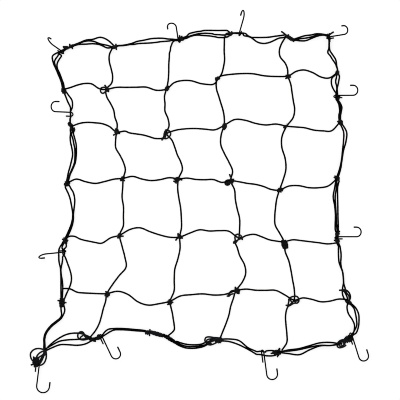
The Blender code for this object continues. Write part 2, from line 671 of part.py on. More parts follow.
def make_mesh(parts, paint, border, routes):
    """The five rows and four columns of cord, fused at their knots, as one solid."""
    pieces = new_collection("mesh pieces")
    tree = BVHTree.FromObject(border, bpy.context.evaluated_depsgraph_get())
    lines = []
    for r, row in enumerate(ROWS, 1):
        lines.append((f"row_{r}", row, [f"r{r}c{c}" for c in range(1, 5)]))
    for c, column in enumerate(COLUMNS, 1):
        lines.append((f"column_{c}", column, [f"r{r}c{c}" for r in range(1, 6)]))
    first = None
    for name, row, knots in lines:
        path = mesh_cord(row.start, row.end, knots, row.bows, routes)
        path = seated(path, tree)
        path = seated(path[::-1], tree)[::-1]
        made = tube(name, path, CORD, pieces)
        first = first or made
    for name, row in MESH_KNOTS.items():
        knot(name, row, pieces)
    for number, row in enumerate(MESH_RINGS):
        ring(f"open_ring_{number}", row, pieces)
    for number, row in enumerate(MESH_STUBS):
        stub(f"cut_end_{number}", row, pieces)
    pieces.objects.unlink(first)
    bpy.context.scene.collection.objects.link(first)
    return fused("net_mesh", first, pieces, parts, paint)


def make_hooks(parts, paint):
    """Twelve hooks, each with its eye round the strands of the border that it holds."""
    eyes = {s.eye.hook: s.eye for s in BORDER if s.eye}
    eyes.update(RING_OF_HOOK)
    for name, hook in HOOKS.items():
        eye = eyes[name]
        path, thick = hook_path(hook, eye.x, eye.y, eye.run, len(eye.takes))
        made = tube(name, path, WIRE, parts, thick=thick)
        made.data.materials.append(paint)
        made.data.shade_smooth()
        made.data.set_sharp_from_angle(angle=math.radians(SHARP))


def main():
    clear_scene()
    parts = new_collection("luggage_net")
    cord = material("Black elastic cord", (0.012, 0.012, 0.013), 0.7)
    wire = material("Zinc plated spring wire", (0.35, 0.36, 0.38), 0.35, 1.0)
    border, routes = make_border(parts, cord)
    make_mesh(parts, cord, border, routes)
    make_hooks(parts, wire)
    for old in [o for o in bpy.data.objects if o.name.startswith("outline")]:
        bpy.data.objects.remove(old)


main()
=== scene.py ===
"""Looks of a flat elastic luggage net with wire hooks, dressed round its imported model.

Tables are in millimetres and degrees on the net's own layout, whose middle is CENTRE. Meshes are in metres.
Bows are how far a cord lies to the left of the straight way from start to end, at equal steps along it.
"""

import math
from collections import namedtuple

import bpy
import numpy as np
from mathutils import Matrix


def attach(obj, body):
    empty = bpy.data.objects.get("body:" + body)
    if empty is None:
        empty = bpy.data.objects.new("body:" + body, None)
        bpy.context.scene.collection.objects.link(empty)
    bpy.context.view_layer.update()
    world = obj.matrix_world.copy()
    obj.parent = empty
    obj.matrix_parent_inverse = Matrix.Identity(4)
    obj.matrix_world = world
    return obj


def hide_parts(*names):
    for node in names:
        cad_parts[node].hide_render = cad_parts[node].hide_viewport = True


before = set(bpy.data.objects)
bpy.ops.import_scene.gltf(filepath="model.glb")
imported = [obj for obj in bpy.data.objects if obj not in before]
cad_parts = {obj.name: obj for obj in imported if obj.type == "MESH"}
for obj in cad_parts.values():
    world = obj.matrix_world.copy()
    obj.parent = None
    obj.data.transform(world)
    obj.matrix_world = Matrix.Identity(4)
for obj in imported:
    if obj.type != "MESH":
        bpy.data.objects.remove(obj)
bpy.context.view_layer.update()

bl_info = {
    "name": "Luggage net",
    "version": (1, 0, 0),
    "blender": (4, 5, 0),
    "location": "View3D > Sidebar > Luggage net",
    "description": "Builds the cords, knots, hooks and studio of an elastic luggage net",
    "category": "Add Mesh",
}

MM = 0.001
CENTRE = (0.74, 1.77)

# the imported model's sizes, which the looks are laid over
GAP = 0.4  # between a cord and the wire round it
CORD_HALF = 1.5
WIRE_ACROSS = 2.0
EYE_APART = 3.4  # between the strands that the hooks' eyes are sized for

# how strands lie
APART = 3.1  # between the middles of two strands that pass each other
SIDE_BY_SIDE = APART / 2
SIDE_OF = (1, -1, 0)  # a stretch's first strand is on the left, the second on the right, the third between
ON_TOP = APART * math.sqrt(3) / 2
ROW_RISE, COLUMN_RISE = 4.1, 2.2  # height of a cord's middle in its knots
KNOT_HALF, KNOT_SLOPE = 2.0, 9.0  # how far from a crossing it stays at that height, and then comes down
FLIGHT = 5.0  # how far before and after a crossing a strand starts to rise
EYE_LIFT = WIRE_ACROSS + GAP
EYE_HALF = 5.0  # half the straight run of the strands through a hook's eye
EYE_REACH = EYE_HALF + 2 * CORD_HALF  # from an eye's middle to where its strands leave their height
EYE_FREE = 11.0  # from an eye's middle to where its strands follow their bows again
EYE_FREE_NEAR = 7.0  # the same for a strand given by its places
EYE_SLOPE = 12.0  # how far past the eye the strands come down again
TWIST_PITCH = 17.0
TWIST_TIGHT = APART / math.sqrt(3)  # from the middle of three strands that touch to each of theirs
TWIST_SLACK = 1.1  # how much farther from its middle a twist's strands lie halfway along it
TWIST_LEANS = (-30, 210, 90)  # where each strand of a twist starts round its middle

# how finely curves are cut
CURVE_STEPS = 20  # between two given points
STEP, LOOP_STEP, WIRE_STEP, DIP_STEP = 1.5, 1.0, 0.8, 0.35
FEWEST = 4  # points on a path
CORD_SIDES, KNOT_SIDES, WIRE_SIDES, DIP_SIDES = 12, 10, 14, 16
SHARP = math.radians(60)
CLOSED = 0.985  # how far a rounded end closes before its flat cap
UV_NAME = "along_and_round"

PUCKERS = (7.3, 11.9)  # lengths of the slack sheath's swellings

# how a lump of a knot is wound, as shares of its cord's width where nothing else is said
COIL_PITCH = 1.02  # between the turns of its coil
COIL_POINTS = 24  # on one turn
COIL_START = 2.4  # radians between the starts of one lump and the next
COIL_TAPER = 0.55  # the share of the square of its width that a lump loses at its ends
COIL_TUCK = 0.35  # how much of a turn runs in to half the width at each end
COIL_LEAN = 0.38  # how far each turn slants along the lump
COIL_WOBBLE, WOBBLE_RATE = 0.16, 3.1  # how unevenly the turns lie, and how often that changes
LEAST_HALF = 0.8  # millimetres from a lump's middle line to its turns
FULL_RISE = 4.0  # half width of the lumps that stand up to their full height, in millimetres
OVER_BELOW = 8.0  # half length of the lumps that have a turn over the top, in millimetres
OVER_HEIGHT = 0.55  # how far that turn stands over the coil
OVER_POINTS = 22
OVER_LENGTH, OVER_SLANT, OVER_BOW = 0.82, 0.75, 0.35  # its shares of the lump's length and width

# cut ends: height at the root and at the end, and the melted bead as shares of the length and of the radius
STUB_POINTS = 14
STUB_HIGH, STUB_DROP = 3.4, 1.6
BEAD_AT, BEAD_REACH, BEAD_SWELL, MELTED, SHUT = 0.84, 0.08, 0.08, 0.86, 0.9

# hooks, in millimetres
EYE_SIDE, EYE_INNER, EYE_PAST = 0.05, 0.1, 0.6  # play beside the strands, in the bend, behind the shank
EYE_POINTS, BEND_POINTS = 25, 61
EASE_STEP, EASE_REACH = 0.5, 4  # the corners of the wire are rounded over this many points a step apart
TRIM = 0.5  # the cut tail is narrower over this length
DIP_END, DIP_SKIN, SHOULDER = 1.2, 0.08, 1.6  # wire left out in the dip, the dip's edge and its shoulder

# the braid
YARN_REPEAT = 1.2  # millimetres along the cord
YARNS_EACH_WAY = 8

# the stage, in metres and watts
FLOOR_HALF, FLOOR_DROP = 6.0, 0.0003
LAMPS = (("key", -1.4, 1.6, 1.6, 18.0), ("fill", 1.6, -1.2, 2.0, 8.0))  # x, y, size and power
LAMP_HEIGHT = 2.2
WORLD_LIGHT = 0.5
FRAME_WIDTH = 0.8  # across the picture
CAMERA_HEIGHT = 15.0  # so far up that the view is almost parallel, as the photograph's is
CAMERA_SIGHT = 100.0
SENSOR = 36.0  # millimetres
VIEW_GAMMA = 0.75  # darkens thin lines to the photograph's tone
EDGE_WIDTH = 1.0  # pixels that an edge is spread over, as crisp as in the photograph

Lump = namedtuple("Lump", "x y turn long wide")
Stub = namedtuple("Stub", "x y heading length bend", defaults=(10,))
Row = namedtuple("Row", "start end bows")
Stretch = namedtuple("Stretch", "start end strands eye twist", defaults=(None, None))
Eye = namedtuple("Eye", "hook x y run takes spread", defaults=(SIDE_BY_SIDE,))
Hook = namedtuple("Hook", "heading side roll pitch reach radius back tail drift")

# where a row's cord and a column's cord cross, row by row
CROSSINGS = (
    ((-188, 221), (-67, 222), (33.4, 238), (176, 248)),
    ((-167, 136), (-67, 133), (48, 149), (173.4, 147.6)),
    ((-153.4, 43.4), (-43, 42.4), (61.4, 38.6), (159, 20)),
    ((-160.6, -70.4), (-40.6, -74), (77.6, -76), (168, -83.4)),
    ((-186, -187), (-60, -202.4), (72, -181), (188, -200)),
)

# the lumps of cord that the knots are made of: middle, direction, half length and half width
MESH_LUMPS = [Lump(*row) for row in (
    (-186, 221.6, -75, 5.8, 4.4), (-65.8, 222.8, 75, 6, 5), (34.8, 243, 12, 6.2, 4.3),
    (176.4, 247.4, 15, 6.2, 4.8), (-166.6, 137.4, 80, 6.4, 5.2), (-70.4, 132, 80, 8.6, 3),
    (48.8, 147.4, 65, 6.6, 5.4), (171.6, 147.4, 75, 4.9, 4.9), (-155.2, 42.6, 20, 5.2, 5),
    (-45.4, 41.4, 25, 6.8, 5.2), (-48.4, 36.4, 60, 3.8, 3.4), (63.2, 37.8, 80, 6.6, 5.4),
    (54.6, 33.6, 20, 4.4, 3.4), (160.4, 20, 50, 6.2, 5.8), (-161, -71, 30, 5.4, 5.2),
    (-41.4, -72.8, -35, 5.4, 5), (83.4, -75.6, 80, 4.4, 3.6), (69.8, -84, 70, 4.2, 3.8),
    (169.4, -88.8, -80, 10.4, 7.2), (-185, -189, 65, 6.8, 5.4), (-60.2, -204.4, 60, 6.2, 5.8),
    (74.6, -181.6, -25, 6.6, 6.2), (58, -190.6, 10, 4.2, 3.4), (178.6, -198.8, 85, 4, 2.8)
)]
BORDER_LUMPS = [Lump(*row) for row in (
    (-257.4, 307.2, 15, 6, 3.9), (-268, 304, 15, 6.4, 4.4), (-171.6, 305.6, 4, 6.6, 4),
    (-37.6, 322.4, 15, 5.8, 5.2), (62.2, 332, 20, 4.4, 4.2), (180.2, 323.4, -29, 10.8, 4.4),
    (174.4, 327.6, 20, 4.4, 3.4), (257, 328, -35, 4.4, 3.4), (258.4, 321, 90, 5, 3.2),
    (274.4, 253.6, 85, 5.4, 4.7), (267.6, 248.2, 35, 3.6, 2.6), (275.6, 204.6, 80, 5.6, 5.2),
    (281, 155.4, 60, 5.8, 5.8), (274, 43.6, 0, 6, 5.2), (270.6, 44.6, 88, 4.8, 2.4),
    (274.8, -68, 90, 4.8, 5.2), (274.6, -81.8, 90, 5.8, 5.4), (287, -181, 5, 5.2, 3.2),
    (297, -204.2, -40, 6.6, 4.8), (297.6, -277.4, 35, 9.4, 7.8), (289, -282.8, 38, 6, 5),
    (153.4, -305, 6, 8.6, 6), (158, -299.8, 50, 4, 3), (156.4, -310.8, 70, 3.4, 2.2),
    (38, -280.4, -10, 8, 6.8), (19.6, -287.8, 15, 4.6, 2.6), (-104, -264.8, -5, 6.4, 5.2),
    (-86, -267.8, -16, 15, 4.8), (-204.4, -276, 10, 7, 4), (-203.8, -271.4, 84, 3.6, 2.8),
    (-216, -279, -20, 5.8, 4.8), (-237.4, -266.6, -10, 4.4, 2.4), (-310.6, -303.4, 85, 7.2, 3.8),
    (-328.2, -321.6, 75, 8.6, 6.8), (-327.6, -331.4, 10, 6, 3.4), (-276, -205, 90, 10.6, 6.2),
    (-269.2, -81, 85, 7.2, 5.2), (-265.8, 33, 70, 7, 6.2), (-258.4, 149.6, -42, 6.8, 4.4),
    (-257, 143.6, -75, 5.6, 2.8), (-251.4, 141, 85, 4.2, 2.4), (-261.4, 152.2, -60, 3.6, 2.8),
    (-272.4, 219, 85, 7.4, 5.6)
)]

# where the border's stretches of loose strands start and end
PLACES = {
    "tl_left": (-270, 301), "tl_right": (-257, 307), "top_1": (-171, 306), "top_2": (-35, 323),
    "top_3": (62, 332), "top_4_left": (172, 329), "top_4_right": (188, 320), "corner_tr": (257, 328),
    "right_1": (274, 254), "right_hook": (276, 198), "right_2": (280, 156), "right_3": (274, 43),
    "right_4": (275, -67), "right_4_low": (274, -84), "right_5_top": (288, -180), "right_5": (296, -203),
    "br_top": (296, -277), "br_left": (284, -287), "bottom_4": (154, -304), "bottom_3": (38, -280),
    "bottom_3_left": (17, -286), "twist": (-50, -284.4),
    "bottom_2_left": (-104, -265), "bottom_1": (-214, -278), "cross": (-311, -301),
    "left_5": (-276, -204), "left_4": (-270, -80), "left_3": (-266, 33), "left_2": (-257, 147),
    "left_1": (-273, 221),
}

# the mesh's cords: start, end, and for each span between crossings its bows, or the places that it passes
ROWS = (
    Row((-273, 221), (274, 254), (
        (4, 9, 12, 11, 2), (4, 4, 4, 4, -2.4),
        ((-52, 234.4), (-35.4, 238.8), (-17.6, 238.4), (1, 233), (18, 230.8), (25, 231), (30, 233.4)),
        ((40, 246.6), (46, 249), (57.6, 250.8), (81, 252.7), (105, 252.5), (128.5, 248.4), (152, 247)),
        (8, 10, 4, -6, -9))),
    Row((-257, 147), (280, 156), (
        (8, 12, 13, 13, 9),
        ((-150.3, 137.7), (-140, 134), (-117, 130.6), (-106, 128), (-96, 124.8), (-88.8, 123),
         (-76, 123.2), (-72, 127)), (4, 4, 2, -2, -6), (12, 11, 5, 2, 4), (-3, -6, -12, -15, -16))),
    Row((-266, 33), (274, 43), (
        (7, 0, -5, -3, 0), (4, -1, -4, -2, 2), (2, 0, 0, 1, -4), (1, 1, 2, 1, -2), (4, 1, -7, -11, -11))),
    Row((-268, -77), (273, -85.8), (
        ((-262, -73), (-256, -72.2), (-250, -73), (-245, -75.4), (-240, -78), (-230, -80.8),
         (-220, -82.8), (-211, -84.6), (-196, -86.2), (-178.6, -75.6)), (12, 16, 9, 3, -1),
        (8, 15, 13, 14, 13), (6.4, 9.8, 6.2, 1.6, 0), (4.2, 2.9, 1.2, -0.5, -2.4))),
    Row((-275, -177), (295, -199), (
        (1, -4, -4, -3, -2), (7, 3, -9, -13, -7.6), (7, 6, 4, -2, -4), (6, 7, 10, 13, 7), (4, 1, -4, -3, 1))),
)
COLUMNS = (
    Row((-175, 304), (-219.6, -274.4), (
        (-4, -2, 4, 9, 9), (-2, 2, 5, 4, 5), (-4, -6, 0, 5, 6.4), (0, 0, 4, 5, 6), (9, 19, 26, 16, 7),
        (3, 4, 6, 7, 5))),
    Row((-50, 319), (-63.6, -271.4), (
        ((-54.6, 315.4), (-56.6, 310.8), (-58.6, 305.6), (-59.4, 299.2), (-61.2, 293), (-61.4, 286.4),
         (-62.4, 271), (-62.6, 254.4), (-63.8, 238)), (-4, -3, -3, 3, 5), (7, 9, 10, 13, 12),
        (-2, 0, 3, 4, 4), (4, 3, 0, 2, 5), (2.4, 5.8, 8.2, 10.6, 11))),
    Row((48.8, 327), (40, -277), (
        (2.4, 4.8, 8.2, 8.6, 7), (-3, -1, 1, 3, 3), (-8, -11, -6, 1, 6), (5, 4, 5, 7, 4.4),
        ((72.6, -84), (71, -87), (72.6, -91), (74.4, -95), (79.7, -111.9), (89, -129.6), (91.3, -147),
         (84.7, -164)), (0, 0, 2, 2, 1))),
    Row((171, 325.6), (163.6, -300.4), (
        (-9, -14, -13, -4, 0), (6, 9, 12, 15, 12), (-7, -5, 4, 8, 5), (-7, -11, -14, -14.6, -7),
        (-1, 3, 4, 4, 4), (-9, -9, -4, 2, 6))),
)

# each strand is its bows, or the places that it passes where these say it better
BORDER = (
    Stretch("tl_right", "top_1", ((7, 13, 15, 19, 14), (6, 11, 11, 6, 3), (4, 5, 6, 4, -2))),
    Stretch("top_1", "top_2", (
        ((-164.2, 308.8), (-152.6, 309.6), (-140, 312.2), (-133.4, 314.2), (-127, 316.8), (-120.4, 318.2),
         (-112, 319.6), (-99.2, 322.4), (-88, 323.4), (-74, 323.4), (-64, 322), (-56, 321.6)),
        ((-164, 308), (-152.6, 308.8), (-140, 310.8), (-133.4, 311), (-123, 312.8), (-112, 313.4),
         (-100, 314), (-86.2, 315.4), (-78.6, 316.6), (-63, 317.8), (-56, 319))),
        Eye(3, -41.6, 320.4, 7, (0, 1), 1.1)),
    Stretch("top_2", "top_3", (
        ((-30, 326), (-26, 328), (-23.6, 330.8), (-20.8, 333), (-12.6, 335.2), (-5, 336.8), (2, 337.6),
         (8, 339), (20, 339.2), (36, 339), (50, 339.2), (54.6, 338.8), (57.6, 336.4)),
        ((-28, 323.2), (-24, 324.8), (-20, 326.8), (-16, 328), (-10, 329.4), (-3, 329.8), (5.4, 329),
         (12, 328.6), (20, 328), (26, 327), (32, 326), (36, 325), (44, 324.8), (50, 324.8), (56, 327)),
        ((-28, 324.4), (-24, 326), (-20, 327.8), (-16, 329), (-10, 330.8), (-3, 332.4), (5.4, 333.2),
         (12, 333.4), (20, 333), (25, 332.4), (29.4, 331), (38, 330.6), (48, 330)))),
    Stretch("top_3", "top_4_left", (
        ((66, 333.8), (85.6, 335), (88.4, 333.4), (91.6, 332.4), (94.2, 329.8), (98, 327.4),
         (103.2, 325.2), (110, 325), (124.8, 325), (137.8, 325.6), (146.8, 327), (154.4, 328),
         (163.6, 329.2)),
        ((66, 333.2), (85, 330.2), (87.8, 328.6), (92.8, 327.6), (98, 326.4), (102.8, 324.4),
         (108.4, 320.2), (113.4, 316.6), (119.2, 314.2), (127.4, 313), (134, 313.8), (140.4, 315.6),
         (148, 319), (154.4, 322.2), (159.6, 324), (167.4, 325))), Eye(4, 80, 333.4, -2, (0, 1), 0.6)),
    Stretch("top_4_right", "corner_tr", ((4, 6, 6, 7, 5), (1, 1, 2, 4, 4), (-3, -4, -1, 2, 3))),
    Stretch("corner_tr", "right_1", (
        ((258.6, 310), (259, 303), (260, 298.4), (261.8, 295.4), (264.4, 291.6), (267.6, 287),
         (270.8, 281.8), (272.4, 276.4), (273, 271), (273.8, 266), (275, 261)),
        ((258, 310), (257.6, 303), (256, 298.4), (255.6, 294.6), (257.6, 291.4), (260.6, 288.2),
         (263.2, 283.8), (267, 278), (269.6, 274.2), (271.8, 270), (273.2, 265.6), (274.6, 260.8))),
        Eye(5, 258.2, 324.4, -88, (0, 1), 0.4)),
    Stretch("right_1", "right_hook", (
        ((278.4, 248.8), (278.8, 245.2), (277.8, 240), (276.8, 234), (275.4, 228), (274.2, 222)),
        ((273, 246.6), (271.6, 240), (271.4, 234.8), (272.8, 229.6), (273.6, 224), (273.2, 218)),
        ((267, 247.4), (263.6, 242.8), (262.6, 236), (263.4, 229.8), (265.8, 223.4), (269.2, 217.2))),
        Eye(6, 273.6, 206.9, -88, (0, 1, 2))),
    Stretch("right_hook", "right_2", (
        (5, 6.4, 4.6, 2.6, 1.6), (1, 1.4, 1.4, -0.8, -1.4), (3, 4.4, 2.8, 0.6, 0))),
    Stretch("right_2", "right_3", ((14, 14, 10, 8, 6), (8, 9, 8, 7, 4))),
    Stretch("right_3", "right_4", (
        ((278, 38), (277, 34), (275.8, 29), (275, 22), (275.2, 6), (275.6, -12), (275.8, -30),
         (276.4, -49)),
        ((269.4, 24.7), (266.4, 6.3), (269.4, -12), (270.8, -30), (270.4, -48.7), (270.6, -60)),
        (-1.4, -4, -3.4, -2.4, -1.8))),
    Stretch("right_4", "right_4_low", ((), ()), Eye(7, 274.2, -75.6, -93, (0, 1))),
    Stretch("right_4_low", "right_5_top", (
        ((279.6, -92), (280.8, -98), (281.8, -105), (282.2, -112), (281.8, -119), (281.4, -125),
         (282, -131), (283.2, -137), (285.4, -144), (286.9, -156), (287.4, -166), (288.8, -172),
         (290.4, -177)),
        ((276.6, -92), (276.8, -98), (276.8, -105), (277, -112), (277.4, -119), (278.2, -125),
         (280.2, -131), (282.6, -137), (285, -144), (286.5, -156), (286.8, -166), (285.8, -172),
         (285, -177)))),
    Stretch("right_5_top", "right_5", (
        ((293, -180.6), (297.4, -184.4), (300.2, -190), (300.6, -196)),
        ((284.6, -183.4), (285.4, -190), (288, -196.6), (291.4, -201)),
        ((289, -183.4), (292, -189), (294.8, -196)))),
    Stretch("right_5", "br_top", (
        (15, 21, 22, 21, 17), (11, 15, 17, 17, 12), (-2, 1, 9, 13, 9)), Eye(8, 302, -272, 222, (0, 1, 2))),
    Stretch("br_left", "bottom_4", ((-5, -7, -4, -1, -1), (1, -2, -1, 1, 1), (1, -1, 4, 11, 6))),
    Stretch("bottom_4", "bottom_3", (
        ((152, -310), (146, -311.4), (140, -311.8), (132.6, -311.4), (113.2, -308.6), (108, -305.6),
         (94.8, -298), (76.6, -289), (57.6, -283)),
        ((150, -302), (144, -301), (137, -301.2), (131.4, -302.2), (114.2, -303.2), (108, -300.8),
         (95.4, -295), (78, -281.2), (58.6, -278))), Eye(9, 125.6, -306.6, 169, (0, 1), 3.4)),
    Stretch("bottom_3_left", "twist", (
        ((10, -291.6), (2, -294.4), (-10, -296.4), (-20, -296.6), (-30, -295.4), (-40, -291.8),
         (-46, -288.6)),
        ((11, -285), (2, -288.4), (-10, -289.6), (-20, -289.4), (-30, -288), (-40, -285.2), (-45, -283.2)),
        ((12, -289), (2, -291.6), (-10, -293), (-20, -293.2), (-30, -292), (-40, -288.6), (-45, -286.2))),
        None, ((-50, -284.4), (-56, -280.4), (-62, -276.6), (-68, -273), (-74, -270))),
    Stretch("bottom_2_left", "bottom_1", (
        ((-112, -262.8), (-130, -261.4), (-148, -259.8), (-164, -259.4), (-172, -260), (-179, -263),
         (-186, -267.2)),
        ((-112, -260.8), (-130, -259), (-148, -257.4), (-164, -256.8), (-176, -257.4), (-182, -258.2),
         (-186.4, -260.4), (-190.6, -264))), Eye(10, -198, -273.4, 216, (0, 1))),
    Stretch("bottom_1", "cross", ((6, 5, 0, -4, -2), (-4, -7, -10, -11, -7), (-14, -20, -21, -17, -10))),
    Stretch("cross", "left_5", (
        ((-312, -288), (-312.2, -278), (-310, -268), (-305, -259.2), (-297, -250), (-287, -242),
         (-280, -236.4), (-276.8, -230), (-277.6, -222), (-278, -215)),
        ((-310.2, -288), (-310.4, -278), (-308.2, -268.8), (-303.6, -260.8), (-295.6, -251.8),
         (-285.6, -243.8), (-278, -237.2), (-273.6, -230), (-270.6, -222), (-271.2, -215)))),
    Stretch("left_5", "left_4", (
        ((-277.8, -196), (-278, -180), (-278, -168), (-278, -156), (-278.6, -144), (-279.2, -135.4),
         (-281, -128), (-282.2, -120.6), (-282.4, -112), (-282.6, -105), (-282, -99), (-280.2, -94.4),
         (-276.8, -89)),
        ((-272.8, -201), (-269.8, -194.6), (-266.6, -186.8), (-260.8, -174), (-258.2, -166.2),
         (-257, -157.2), (-258, -148), (-261, -137.4), (-264.8, -127), (-268, -118), (-270.8, -112),
         (-276, -96), (-274.2, -90)),
        ((-275.2, -194), (-274.6, -180), (-274.6, -170), (-275.6, -160), (-277.4, -150), (-278.2, -140),
         (-277.2, -133), (-275.8, -126.4), (-274.8, -119.2), (-274.4, -113.2), (-269.2, -96),
         (-267.2, -91))), Eye(12, -272.8, -102.8, 95, (1, 2))),
    Stretch("left_4", "left_3", (
        ((-266, -69.2), (-262, -60), (-258, -50), (-255.4, -40), (-254.4, -30), (-255.4, -20),
         (-257.6, -8), (-259.6, 2), (-263, 12), (-266.8, 20), (-269.4, 26)),
        ((-262, -67.2), (-258, -58), (-254.8, -48), (-253.2, -38), (-253, -28), (-252, -18), (-250.6, -6),
         (-250.8, 4), (-253.4, 15), (-257.6, 22), (-260.8, 28)))),
    Stretch("left_3", "left_2", (
        ((-265, 46), (-263, 55.8), (-260.4, 64.8), (-257.2, 77.6), (-255, 88), (-255, 96), (-257, 107.2),
         (-259, 116), (-259.6, 126), (-258.8, 134), (-259.4, 140)),
        ((-260, 50), (-256.4, 58), (-252.8, 66), (-249.4, 75), (-247.8, 86), (-247.2, 96), (-247.6, 110),
         (-249.2, 118), (-251, 124.8), (-252.2, 128.8), (-253, 133), (-252.8, 140)),
        ((-260.8, 50), (-257.6, 58), (-254, 66), (-251, 75), (-250, 86), (-250, 96), (-250.6, 104),
         (-252.4, 112.4), (-253.8, 120.2), (-255.6, 126.6), (-257, 131), (-254.6, 141)))),
    Stretch("left_2", "left_1", (
        ((-259, 151), (-259.8, 156), (-259.8, 162), (-259.2, 185.4), (-264.7, 197), (-269.4, 209)),
        ((-258.6, 151), (-259.4, 156), (-259.4, 162), (-255.2, 186), (-256, 199), (-263.4, 210.2))),
        Eye(2, -258.8, 171.4, 92, (0, 1), 0.3)),
    Stretch("left_1", "tl_left", (
        ((-276.8, 233.6), (-281, 246.6), (-287.4, 260.6), (-292.4, 271.6), (-294.8, 280), (-295.4, 286),
         (-292.6, 290.4)),
        ((-272.8, 231.8), (-276, 240.4), (-280.4, 252.4), (-285, 262.4), (-286, 270), (-284.4, 276),
         (-281, 282), (-277, 288.6)),
        ((-276, 232.4), (-280.2, 243.6), (-285.4, 256), (-289, 267), (-291, 276), (-288.6, 282),
         (-283.6, 289))), Eye(1, -278, 296.4, 27, (0, 1, 2))),
)

# turns of cord that stand out from the knots, as x, y, z of their middles
MESH_LOOPS = (
    ((-186, 224.6, 4.4), (-190.6, 225.4, 3.2), (-195, 225, 2.4), (-198.4, 223, 3.6), (-199, 219.4, 4.6),
     (-198, 215.4, 3.4), (-194.8, 213.4, 2.2), (-191, 214.8, 2.8), (-188, 218.4, 4.2)),
    ((-69.6, 139.6, 3.6), (-65, 140.2, 2.4), (-60.4, 137.2, 2.2), (-58.6, 132.8, 4.6), (-60.2, 128, 3),
     (-64, 124.2, 4.4), (-68.4, 122.6, 3), (-72.4, 123.2, 4)),
    ((-61, 137, 5), (-65.4, 133.4, 4.6), (-68.4, 129.4, 4.6), (-70, 124.4, 4.4)),
    ((63, 40.4, 4.4), (58, 40, 3.2), (53, 39, 2.6), (50.4, 35.4, 2.4), (51, 31.4, 2.6), (55, 29.8, 2.8),
     (59.6, 31.6, 4.4)),
    ((81.4, -70.8, 4), (76, -68.4, 2.8), (71.6, -70, 2.2), (69.8, -75, 2.2), (70.4, -80.4, 2.6),
     (69, -84, 3.6)),
    ((82.4, -76.4, 4.6), (76, -75.2, 4.6), (71.8, -72.2, 3.8)),
    ((81.4, -77.4, 4.2), (76.6, -79.4, 4.6), (72.6, -82.6, 4.2)),
    ((68.4, -180.6, 4.4), (62, -182.4, 3), (58.6, -186.6, 2.4), (56.6, -190.6, 3.4), (61.6, -188.8, 3.2),
     (67.4, -187.2, 4.2)),
    ((178.6, -197.6, 3.8), (180.8, -195, 2.6), (184.4, -193.4, 2.2), (188.4, -192.6, 4.8),
     (192.2, -192.4, 3.2), (195.8, -194.6, 2.4), (197.4, -198.6, 4.8), (197.6, -202.6, 3.2),
     (194.4, -206, 2.4), (189.6, -206.2, 2.8), (184.6, -208, 4.4), (180, -211, 3), (175.4, -212.6, 2.6)),
    ((178.4, -196.6, 4), (181.2, -200.6, 3), (183.2, -204.4, 3), (185, -207.8, 2.2)),
    ((178.6, -197, 3.6), (177.8, -202, 2.6), (176.4, -208, 2.4), (175.4, -213.4, 4.2)),
    ((187.4, -202, 3.8), (190.6, -203.2, 4.4), (193.2, -201.6, 4.4), (197, -201.6, 5)),
)
